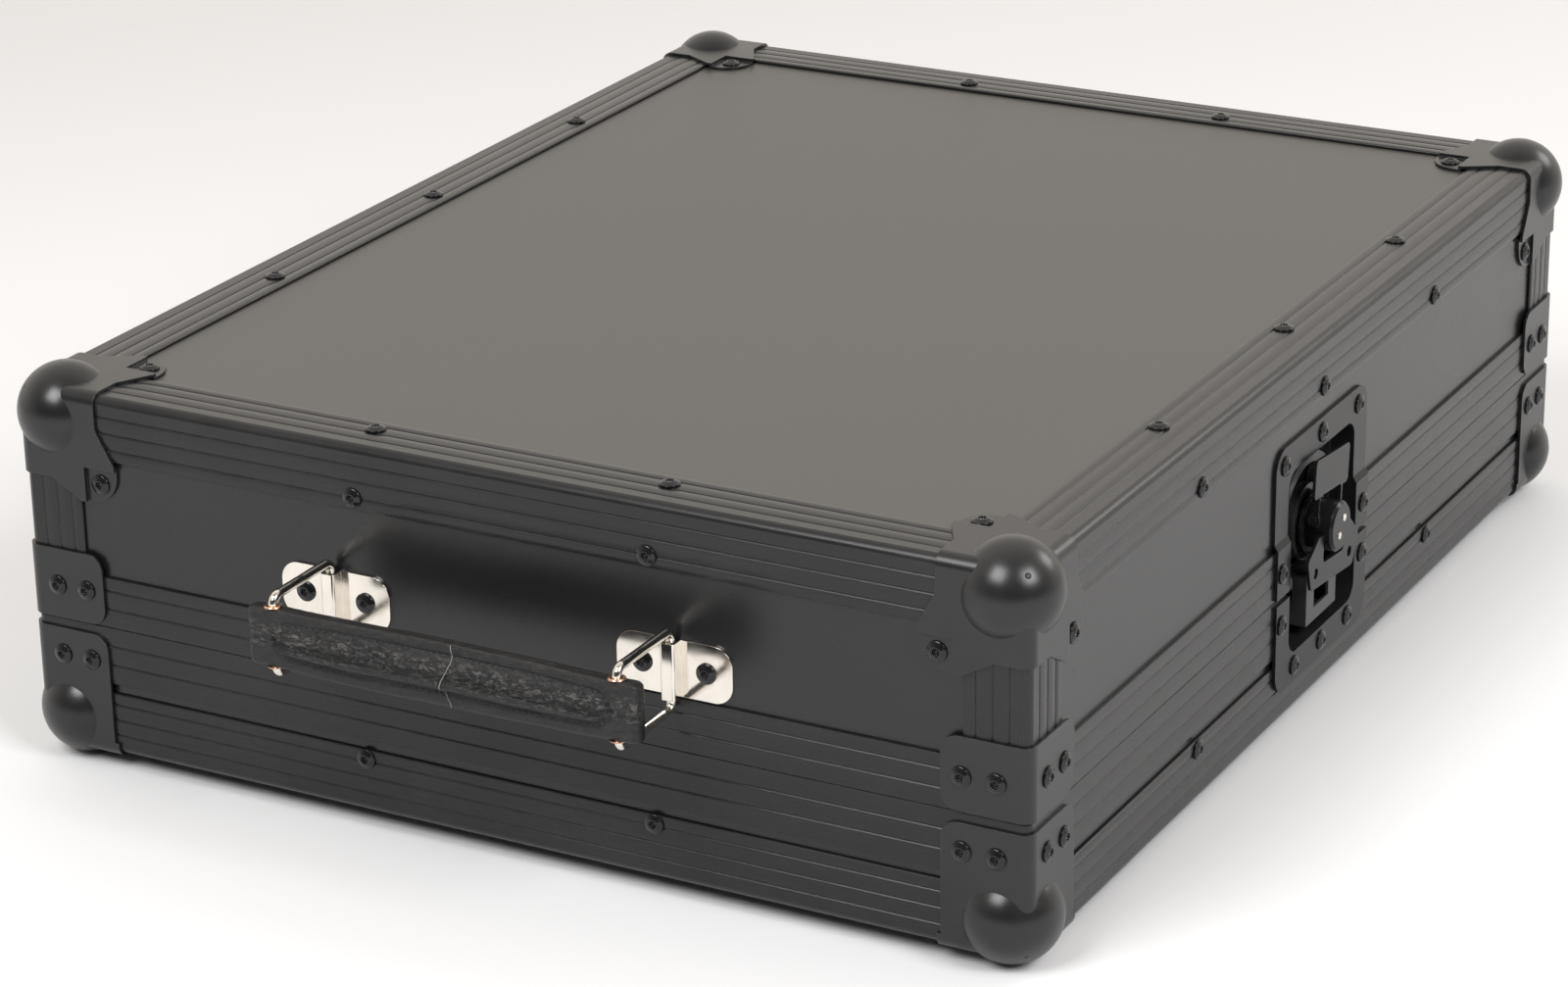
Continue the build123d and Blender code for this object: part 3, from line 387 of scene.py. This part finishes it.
for name, thing in nodes.items():
    if "_edge_" in name or "_rim_" in name:
        paint(thing, extrusion["x" if name.endswith(("front", "back")) else "y"])
    elif name == "lid_posts":
        paint(thing, extrusion["z"])
    elif name == "lid_panel":
        paint(thing, top_panel_painted_lighter)
    elif "_panel" in name or "_wall_" in name:
        paint(thing, panel_black)
    elif "_corner_" in name or name == "lid_braces":
        paint(thing, corner_coat)
    elif name.startswith("latch_claw") or name == "latch_keepers":
        paint(thing, claw_coat)
    elif name.startswith("latch"):
        paint(thing, latch_coat)
    elif name.startswith(("handle_plate", "handle_ring")):
        paint(thing, nickel_plate)

# The two pins of each spindle are bare metal: they stand furthest out of the latch
pin_height = 0.45 * mm
for side, sign in sides:
    spindle = nodes["latch_spindle_" + side]
    spindle.data.materials.append(nickel_plate)
    outermost = max(sign * (spindle.matrix_world @ spot.co).x for spot in spindle.data.vertices)
    for face in spindle.data.polygons:
        if sign * (spindle.matrix_world @ face.center).x > outermost - pin_height:
            face.material_index = 1


# Small helpers for the meshes
def finished(name, mesh, material, body):
    thing = bpy.data.objects.new(name, mesh)
    bpy.context.scene.collection.objects.link(thing)
    paint(thing, material)
    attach(thing, body)
    return thing


def mesh_from(name, points, faces):
    mesh = bpy.data.meshes.new(name)
    mesh.from_pydata(points, [], faces)
    mesh.validate()
    for face in mesh.polygons:
        face.use_smooth = True
    return mesh


def welded(thing):
    """An editable copy of a thing's mesh in which the faces share their points."""
    shape = bmesh.new()
    shape.from_mesh(thing.data)
    bmesh.ops.remove_doubles(shape, verts=shape.verts, dist=weld_distance)
    return shape


def islands(thing):
    """The separate solids of a node's mesh, as lists of points."""
    shape = welded(thing)
    left, found = set(shape.verts), []
    for start in shape.verts:
        if start not in left:
            continue
        left.remove(start)
        group, reached = [start], [start]
        while reached:
            for edge in reached.pop().link_edges:
                for vertex in edge.verts:
                    if vertex in left:
                        left.remove(vertex)
                        reached.append(vertex)
                        group.append(vertex)
        found.append([vertex.co.copy() for vertex in group])
    shape.free()
    return found


def band(one, two, steps, flipped=False):
    """The quads between two rings of points that start at one and two."""
    quads = []
    for step in range(steps):
        after = (step + 1) % steps
        quad = (one + step, two + step, two + after, one + after)
        quads.append((quad[0], quad[3], quad[2], quad[1]) if flipped else quad)
    return quads


def cap(start, steps, flipped=False):
    """The face that closes a ring of points that starts at start."""
    ring = [start + step for step in range(steps)]
    return ring[::-1] if flipped else ring


def revolved(profile, spots, steps):
    """One mesh of a profile (radius, height) turned about each spot's axis."""
    points, faces = [], []
    for foot, axis in spots:
        turn = Vector((0, 0, 1)).rotation_difference(axis)
        start = len(points)
        for radius, height in profile:
            for step in range(steps):
                angle = full_turn * step / steps
                local = Vector((radius * math.cos(angle), radius * math.sin(angle), height))
                points.append(foot + turn @ local)
        last = start + (len(profile) - 1) * steps
        for one in range(start, last, steps):
            faces += band(one, one + steps, steps, flipped=True)
        faces.append(cap(last, steps))
    return points, faces


def tube(path, radius, steps, closed):
    """A round wire along a path, with its section kept level with the path's plane."""
    points, faces = [], []
    count = len(path)
    plane = (path[1] - path[0]).cross(path[count // 2] - path[0]).normalized()
    for index, spot in enumerate(path):
        before = path[index - 1] if closed or index else path[index]
        after = path[(index + 1) % count] if closed or index < count - 1 else path[index]
        ahead = (after - before).normalized()
        out = ahead.cross(plane).normalized()
        for step in range(steps):
            angle = full_turn * step / steps
            points.append(spot + radius * (math.cos(angle) * out + math.sin(angle) * plane))
    for index in range(count if closed else count - 1):
        faces += band(index * steps, (index + 1) % count * steps, steps)
    if not closed:
        faces.append(cap(0, steps, flipped=True))
        faces.append(cap((count - 1) * steps, steps))
    return points, faces


# Ball corners: in the solids the tip of the corner sheet's blank stands out of each ball.
# Here it is drawn back, so that the ball is smooth all round.
ball_radius, ball_inset, ball_sheet, ball_slack = 22.5, 15.0, 1.5, 0.05
smooth_cone = math.cos(math.radians(20))


def smooth_ball(node, body, x_sign, y_sign, z_sign):
    """A copy of a corner whose tip is drawn back onto the sphere of its ball."""
    middle_x = x_sign * (half_width - ball_inset)
    middle_y = y_sign * (half_depth - ball_inset)
    middle_z = case_top - ball_inset if z_sign > 0 else case_low + ball_inset
    middle = Vector((middle_x, middle_y, middle_z)) * mm
    diagonal = Vector((x_sign, y_sign, z_sign)).normalized()
    mesh = nodes[node].data.copy()
    normals = [Vector(corner.vector) for corner in mesh.corner_normals]
    outer = set()
    for loop in mesh.loops:
        away = mesh.vertices[loop.vertex_index].co - middle
        in_tip = away.normalized().dot(diagonal) >= smooth_cone
        on_ball = away.length >= (ball_radius - ball_slack) * mm
        if in_tip and on_ball and normals[loop.index].dot(away) > 0:
            outer.add(loop.vertex_index)
    for loop in mesh.loops:
        if loop.vertex_index in outer:
            normals[loop.index] = (mesh.vertices[loop.vertex_index].co - middle).normalized()
    for vertex in mesh.vertices:
        away = vertex.co - middle
        if away.normalized().dot(diagonal) < smooth_cone:
            continue
        reach = ball_radius if vertex.index in outer else ball_radius - ball_sheet
        if away.length > reach * mm:
            vertex.co = middle + away.normalized() * reach * mm
    mesh.normals_split_custom_set(normals)
    made = finished(node + "_smooth", mesh, corner_coat, body)
    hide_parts(node)


for end, y_sign in (("front", -1), ("back", 1)):
    for side, x_sign in sides:
        for body, z_sign in (("base", -1), ("lid", 1)):
            smooth_ball(body + "_corner_" + end + "_" + side, body, x_sign, y_sign, z_sign)

# Rivets: a domed flange with a raised rim round the dark hole of the drawn stem.
# The profile gives radius and height from the flange up, over and down to the stem.
rivet_profile = [
    (4.6, 0.0),
    (4.72, 0.1),
    (4.72, 0.72),
    (4.6, 0.86),
    (4.1, 1.05),
    (3.3, 1.42),
    (2.6, 1.78),
    (2.3, 1.88),
    (1.95, 1.88),
    (1.75, 1.76),
    (1.62, 1.4),
    (1.55, 0.4),
    (1.0, 0.34),
    (0.85, 0.7),
    (0.35, 0.8),
]
turned_steps = 28


def in_metres(profile):
    return [(radius * mm, height * mm) for radius, height in profile]


def foot_and_axis(solid):
    """Where a rivet's flange sits, and which way its head points."""
    low = Vector([min(point[i] for point in solid) for i in range(3)])
    high = Vector([max(point[i] for point in solid) for i in range(3)])
    centre, size = (low + high) / 2, high - low
    thin = min(range(3), key=lambda i: size[i])

    def off_axis(point):
        away = point - centre
        away[thin] = 0
        return away.length

    sign = 1 if max(solid, key=off_axis)[thin] < centre[thin] else -1
    foot, axis = centre.copy(), Vector((0, 0, 0))
    foot[thin] = low[thin] if sign > 0 else high[thin]
    axis[thin] = sign
    return foot, axis


def dress_rivets(node, body):
    """Domed rivets in the places of a node's plain ones."""
    spots = [foot_and_axis(solid) for solid in islands(nodes[node])]
    points, faces = revolved(in_metres(rivet_profile), spots, turned_steps)
    mesh = mesh_from(node + "_domed", points, faces)
    made = finished(node + "_domed", mesh, rivet_black, body)
    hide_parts(node)


dress_rivets("base_rivets", "base")
dress_rivets("lid_rivets", "lid")

# Handle rings: round wire bent to a closed rectangle with rounded corners
wire_radius, wire_axis, wire_steps = 2.1, 2.4, 20
ring_reach, ring_half, ring_bend, bend_steps = 44.0, 18.0, 4.0, 8
grip_y = -(half_depth + wire_axis + ring_reach)


def ring_path(x):
    """The axis of a ring's wire, corner by corner."""
    path = []
    near, far = -(half_depth + wire_axis), grip_y
    corners = (
        (near, ring_half, 0),
        (far, ring_half, 90),
        (far, -ring_half, 180),
        (near, -ring_half, 270),
    )
    for y, z, turn in corners:
        middle_y = y + (ring_bend if y == far else -ring_bend)
        middle_z = handle_z + (z + (ring_bend if z < 0 else -ring_bend))
        for step in range(bend_steps + 1):
            angle = math.radians(turn + 90 * step / bend_steps)
            y_on = middle_y + ring_bend * math.cos(angle)
            z_on = middle_z + ring_bend * math.sin(angle)
            path.append(Vector((x, y_on, z_on)) * mm)
    return path


for side, sign in sides:
    path = ring_path(sign * handle_pitch / 2)
    points, faces = tube(path, wire_radius * mm, wire_steps, closed=True)
    mesh = mesh_from("ring_" + side, points, faces)
    body = "ring_" + side + "_body"
    ring = finished("handle_ring_wire_" + side, mesh, nickel_plate, body)
    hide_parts("handle_ring_" + side)

# Leather grip: flat wrapped ends, and a stuffed panel stitched down along its border.
# Sizes are in millimetres about the grip's middle.
grip_half = 97.0
end_half_thickness, border_half_thickness = 4.1, 3.2
end_half_height, middle_half_top, middle_half_bottom = 13.4, 14.2, 15.4
section_power = 2 / 7
swell_half, swell_power = 84.0, 0.8
end_length, end_rounding, end_drop, end_thinnest = 3.6, 3.2, 1.1, 0.35
panel_half, panel_half_height, panel_round = 82.0, 7.7, 6.4
panel_taper, taper_start = 1.2, 40
stuffing, stuffed_span, rear_share = 4.0, (-0.4, 3.2), 0.5
roll_level, creased_above, lean_share = -3.2, 0.5, 0.86
seam_offset, seam_half_width, seam_depth, seam_least = 1.3, 0.75, 0.9, 0.6
stitch_pitch = 3.0
face_span, ridge_span = (0.25, 0.9), (0.9, 0.999)
ridge_height, ridge_width = 0.28, 0.45
bow_height, bow_sway, bow_rate = 0.35, 0.28, 0.05
rise_x, rise_width, dip_x, dip_width, dip_share = 14, 30.0, -45, 26.0, 0.5
pore_rate, pore_depth_y, pore_depth_z = 0.5, 0.06, 0.05
along, around_steps, section_samples, even_share = 260, 120, 6000, 0.86

# The leather's unevenness. Each cut through a noise field has its rate along x, its slant with z
# and its rate along z, all per millimetre, and the level at which it is taken.
wrinkle_cut, wrinkle_share = (0.055, 0.0, 0.16, 3.7), 0.12
fold_cut, fold_height = (0.16, 0.10, 0.07, 9.1), 0.4
crumple_cut, crumple_depth = (0.30, -0.22, 0.5, 6.3), 0.6


def smooth_step(value, low, high):
    share = max(0.0, min(1.0, (value - low) / (high - low)))
    return share * share * (3 - 2 * share)


def hump(value, middle, width):
    """A soft rise to 1 at the middle."""
    return math.exp(-(((value - middle) / width) ** 2))


def squared(value):
    """A cosine or sine, pushed out so that the section is a rounded rectangle."""
    return math.copysign(abs(value) ** section_power, value)


def panel_edge(x, z):
    """Signed distance to the stuffed panel's border, negative inside it."""
    half_height = panel_half_height - panel_taper * smooth_step(abs(x), taper_start, panel_half)
    past_x = abs(x) - (panel_half - panel_round)
    past_z = abs(z) - (half_height - panel_round)
    return math.hypot(max(past_x, 0), max(past_z, 0)) + min(max(past_x, past_z), 0) - panel_round


def even_angles(count):
    """Angles that set the points of the grip's section at even distances round it."""
    spots = []
    for step in range(section_samples + 1):
        angle = full_turn * step / section_samples
        y = end_half_thickness * squared(math.cos(angle))
        z = end_half_height * squared(math.sin(angle))
        spots.append(Vector((y, z)))
    travelled = [0.0]
    for one, two in zip(spots, spots[1:]):
        travelled.append(travelled[-1] + (two - one).length)
    angles, reached = [], 0
    for step in range(count):
        while travelled[reached] < travelled[-1] * (step + 0.5) / count:
            reached += 1
        angles.append(full_turn * reached / section_samples)
    return angles


def cut_at(x, z, rate_x, slant, rate_z, level):
    """The place of a point of the grip's face in a noise field."""
    return Vector((x * rate_x + z * slant, z * rate_z, level))


def relief(x, z):
    """How far the leather is raised by the stuffing and its creases, and sunk by the seam."""
    off = panel_edge(x, z)
    stuffed = smooth_step(-off, *stuffed_span)
    lean = min(max((z - roll_level) / (panel_half_height - roll_level), 0.0), 1.0)
    wrinkle = noise.fractal(cut_at(x, z, *wrinkle_cut), 0.9, 2.1, 4)
    fold = noise.noise(cut_at(x, z, *fold_cut))
    crumple = noise.turbulence(cut_at(x, z, *crumple_cut), 3, True)
    creased = smooth_step(z, roll_level, creased_above) * stuffed
    raised = stuffing * stuffed * (1 - lean_share * lean) * (1 + wrinkle_share * wrinkle)
    raised = raised + fold_height * stuffed * fold - crumple_depth * creased * crumple
    pucker = 0.5 + 0.5 * math.sin(x * full_turn / stitch_pitch + 0.4 * math.sin(z))
    seam = hump(off, seam_offset, seam_half_width)
    return raised, seam_depth * seam * (seam_least + (1 - seam_least) * pucker)


def grip_point(x, around):
    """A point of the grip's skin, in millimetres about the grip's middle."""
    cosine, sine = math.cos(around), math.sin(around)
    swell = math.cos(min(abs(x) / swell_half, 1.0) * math.pi / 2) ** swell_power
    half_y = end_half_thickness + (border_half_thickness - end_half_thickness) * swell
    middle_half = middle_half_top if sine > 0 else middle_half_bottom
    half_z = end_half_height + (middle_half - end_half_height) * swell
    end = smooth_step(abs(x), grip_half - end_length, grip_half)
    past = min(max(abs(x) - (grip_half - end_rounding), 0) / end_rounding, 1.0)
    rounding = math.sqrt(max(1 - past**2, 0.0))
    half_y *= end_thinnest + (1 - end_thinnest) * rounding
    half_z -= end_drop * end * (1 - rounding * 0.5)
    y, z = half_y * squared(cosine), half_z * squared(sine)
    flatness = y / max(half_y, 0.01)
    pores = noise.fractal(Vector((x * pore_rate, y * pore_rate, z * pore_rate)), 0.8, 2.0, 3)
    raised, sunk = relief(x, z)
    y -= smooth_step(-flatness, *face_span) * (raised - sunk)
    y += smooth_step(flatness, *face_span) * (rear_share * raised - sunk)
    bow = hump(x, rise_x, rise_width) - dip_share * hump(x, dip_x, dip_width)
    sway = noise.noise(Vector((x * bow_rate, 1.3, 5.5)))
    z += bow_height * bow + bow_sway * sway * (1 - end)
    ridge = hump(y, 0, ridge_width) * smooth_step(abs(sine), *ridge_span)
    z -= math.copysign(ridge_height * ridge, sine)
    return x, y + pore_depth_y * pores, z + pore_depth_z * pores


def on_grip(x, y, z):
    """From the grip's own millimetres to the millimetres of the case."""
    return (x, grip_y + y, handle_z + z)


section_angles = even_angles(around_steps)
points, faces = [], []
for step in range(along + 1):
    share = step / along * 2 - 1
    x = grip_half * (share * even_share + (1 - even_share) * math.sin(share * math.pi / 2) ** 3)
    for around in section_angles:
        points.append([value * mm for value in on_grip(*grip_point(x, around))])
for index in range(along):
    faces += band(index * around_steps, (index + 1) * around_steps, around_steps)
faces.append(cap(0, around_steps))
faces.append(cap(along * around_steps, around_steps, flipped=True))
mesh = mesh_from("grip", points, faces)
grip = finished("handle_grip_leather", mesh, black_leather, "grip_body")
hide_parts("handle_grip")

# Stitches: short thread loops along the panel's border, front and back
rays_per_degree, ray_flatness, ray_reach, ray_halvings = 4, 0.12, 100.0, 22
stitch_half_length, stitch_radius, stitch_rise, stitch_dip = 1.15, 0.3, 0.32, 0.25
stitch_rings, stitch_steps, longest_stitch = 7, 8, 6


def stitch_line():
    """Points round the panel, one seam_offset outside its border, about a stitch_pitch apart."""
    spots = []
    for ray_index in range(360 * rays_per_degree):
        angle = math.radians(ray_index / rays_per_degree)
        ray = Vector((math.cos(angle), math.sin(angle) * ray_flatness)).normalized()
        low, high = 0.0, ray_reach
        for _ in range(ray_halvings):
            reach = (low + high) / 2
            if panel_edge(ray.x * reach, ray.y * reach) < seam_offset:
                low = reach
            else:
                high = reach
        spot = Vector((ray.x * reach, ray.y * reach))
        if not spots or (spot - spots[-1]).length >= stitch_pitch:
            spots.append(spot)
    return spots


def skin_y(x, z, front):
    """The grip's surface at x and height z, on its front or back."""
    faced = [around for around in section_angles if (math.cos(around) < 0) == front]
    skin = [grip_point(x, around) for around in faced]
    return min(skin, key=lambda point: abs(point[2] - z))[1]


def add_stitch(points, faces, middle, ahead, outward):
    """A short rounded thread that dips into the leather at both ends."""
    across = ahead.cross(outward)
    start = len(points)
    for ring_index in range(stitch_rings):
        share = ring_index / (stitch_rings - 1) * 2 - 1
        forward = share * stitch_half_length
        thick = stitch_radius * math.sqrt(max(1 - (share * 0.97) ** 4, 0.02))
        lift = stitch_rise * (1 - share * share) - stitch_dip
        for step in range(stitch_steps):
            angle = full_turn * step / stitch_steps
            out, aside = lift + thick * math.sin(angle), thick * math.cos(angle)
            points.append(middle + ahead * forward + outward * out + across * aside)
    last = start + (stitch_rings - 1) * stitch_steps
    for one in range(start, last, stitch_steps):
        faces += band(one, one + stitch_steps, stitch_steps, flipped=True)
    faces.append(cap(start, stitch_steps, flipped=True))
    faces.append(cap(last, stitch_steps))


points, faces = [], []
border = stitch_line()
for front in (True, False):
    outward = Vector((0, -1 if front else 1, 0))
    for spot, following in zip(border, border[1:] + border[:1]):
        if (following - spot).length > longest_stitch:
            continue
        flat = (spot + following) / 2
        ahead = Vector((following.x - spot.x, 0, following.y - spot.y)).normalized()
        middle = Vector(on_grip(flat.x, skin_y(flat.x, flat.y, front), flat.y))
        add_stitch(points, faces, middle, ahead, outward)
mesh = mesh_from("stitches", [point * mm for point in points], faces)
finished("grip_stitches", mesh, black_thread, "grip_body")

# A loose pale thread down the middle of the grip's front
thread_parts, thread_radius, thread_steps, thread_sink = 28, 0.16, 8, 0.15
thread_x, thread_top, thread_drop, thread_drift = 6.0, 14.2, 28.6, 3.2
thread_wave, thread_wave_rate, thread_kick, thread_kick_span = 1.5, 7.5, 1.2, (0.75, 0.95)
path = []
for part in range(thread_parts + 1):
    share = part / thread_parts
    z = thread_top - thread_drop * share
    x = thread_x + thread_wave * math.sin(share * thread_wave_rate) - thread_drift * share
    x += thread_kick * smooth_step(share, *thread_kick_span)
    path.append(Vector(on_grip(x, skin_y(x, z, True) - thread_sink, z)) * mm)
points, faces = tube(path, thread_radius * mm, thread_steps, closed=False)
mesh = mesh_from("loose_thread", points, faces)
finished("grip_loose_thread", mesh, pale_thread, "grip_body")

# Washers where the wire of the rings enters the grip: radius and height, from the rim inwards
washer_profile = [(4.0, 0.0), (3.9, 0.45), (3.4, 0.75), (2.7, 0.8), (2.3, 0.55), (2.35, 0.0)]
washer_lift = 0.25
spots = []
for _, sign in sides:
    for way in (-1, 1):
        foot = on_grip(sign * handle_pitch / 2, 0, way * (end_half_height + washer_lift))
        spots.append((Vector(foot) * mm, Vector((0, 0, way))))
points, faces = revolved(in_metres(washer_profile), spots, turned_steps)
mesh = mesh_from("washers", points, [face for face in faces if len(face) == 4])
finished("grip_washers", mesh, copper_ring, "grip_body")

# Foam: each slab softly rounded, slightly uneven
foam_bevel, foam_longest_edge = 1.6 * mm, 24 * mm
foam_sink, foam_sway_rate, foam_cuts = 0.25, 22, 3


def cut_to_triangles(shape):
    many_sided = [face for face in shape.faces if len(face.verts) > 4]
    bmesh.ops.triangulate(shape, faces=many_sided)


def dress_foam(node, body):
    """A rounded copy of a foam node."""
    shape = welded(nodes[node])
    verts, edges = shape.verts, shape.edges
    bmesh.ops.dissolve_limit(shape, angle_limit=math.radians(1), verts=verts, edges=edges)
    bmesh.ops.bevel(
        shape, geom=edges[:], offset=foam_bevel, segments=3, profile=0.6, affect="EDGES"
    )
    cut_to_triangles(shape)
    for _ in range(foam_cuts):
        long_edges = [edge for edge in shape.edges if edge.calc_length() > foam_longest_edge]
        if long_edges:
            bmesh.ops.subdivide_edges(shape, edges=long_edges, cuts=1, use_grid_fill=False)
    cut_to_triangles(shape)
    shape.normal_update()
    for vertex in shape.verts:
        sway = noise.noise(vertex.co * foam_sway_rate)
        vertex.co -= vertex.normal * (foam_sink + foam_sink * sway) * mm
    mesh = bpy.data.meshes.new(node + "_soft")
    shape.to_mesh(mesh)
    shape.free()
    for face in mesh.polygons:
        face.use_smooth = True
    made = finished(node + "_soft", mesh, charcoal_foam, body)
    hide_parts(node)


dress_foam("base_foam", "base")
dress_foam("lid_foam", "lid")

# Floor
floor_half, floor_z = 9, cad_box[0].z
signs = ((-1, -1), (1, -1), (1, 1), (-1, 1))
corners = [(x_sign * floor_half, y_sign * floor_half, floor_z) for x_sign, y_sign in signs]
floor = bpy.data.objects.new("floor", mesh_from("floor", corners, [(0, 1, 2, 3)]))
bpy.context.scene.collection.objects.link(floor)
paint(floor, pale_floor())


# Light: one softbox over the ground behind the case, and two that shine in the nearest ball
def softbox(name, place, aim, size, power):
    data = bpy.data.lights.new(name, "AREA")
    data.shape, data.size, data.energy = "SQUARE", size, power
    lamp = bpy.data.objects.new(name, data)
    bpy.context.scene.collection.objects.link(lamp)
    lamp.location = place
    lamp.rotation_mode = "QUATERNION"
    lamp.rotation_quaternion = (Vector(place) - Vector(aim)).to_track_quat("Z", "Y")


softbox("ground_right", place=(1.7, 2.1, 1.7), aim=(1.0, 1.5, 0), size=1.2, power=26)
near_ball = Vector((0.24, -0.3, 0.16))
softbox_distance, softbox_size, softbox_power = 2.5, 1.15, 52
for side, direction in (("left", (-0.229, -0.651, 0.731)), ("right", (0.716, -0.22, 0.671))):
    place = near_ball + Vector(direction) * softbox_distance
    softbox("softbox_" + side, place, near_ball, softbox_size, softbox_power)

# Surroundings: a pale studio that falls off to dark where the photographer stands
pale, pale_until = (1.0, 0.94, 0.865, 1), 0.35
dark, dark_from = (0.06, 0.06, 0.06, 1), 0.8
dark_way = (0.48, -0.87, 0.1)
world_strength = 1.12
world = bpy.data.worlds.new("studio")
bpy.context.scene.world = world
world.use_nodes = True
tree = world.node_tree
sky = tree.nodes["Background"]
sky.inputs["Strength"].default_value = world_strength
where = tree.nodes.new("ShaderNodeTexCoord")
facing = tree.nodes.new("ShaderNodeVectorMath")
facing.operation = "DOT_PRODUCT"
facing.inputs[1].default_value = dark_way
share = tree.nodes.new("ShaderNodeMapRange")
share.inputs["From Min"].default_value = -1.0
ramp = tree.nodes.new("ShaderNodeValToRGB")
tree.links.new(where.outputs["Generated"], facing.inputs[0])
tree.links.new(facing.outputs["Value"], share.inputs["Value"])
tree.links.new(share.outputs[0], ramp.inputs[0])
tree.links.new(ramp.outputs[0], sky.inputs["Color"])
stops = ramp.color_ramp.elements
stops[0].position, stops[0].color = pale_until, pale
stops[1].position, stops[1].color = dark_from, dark
bpy.context.scene.view_settings.view_transform = "Standard"
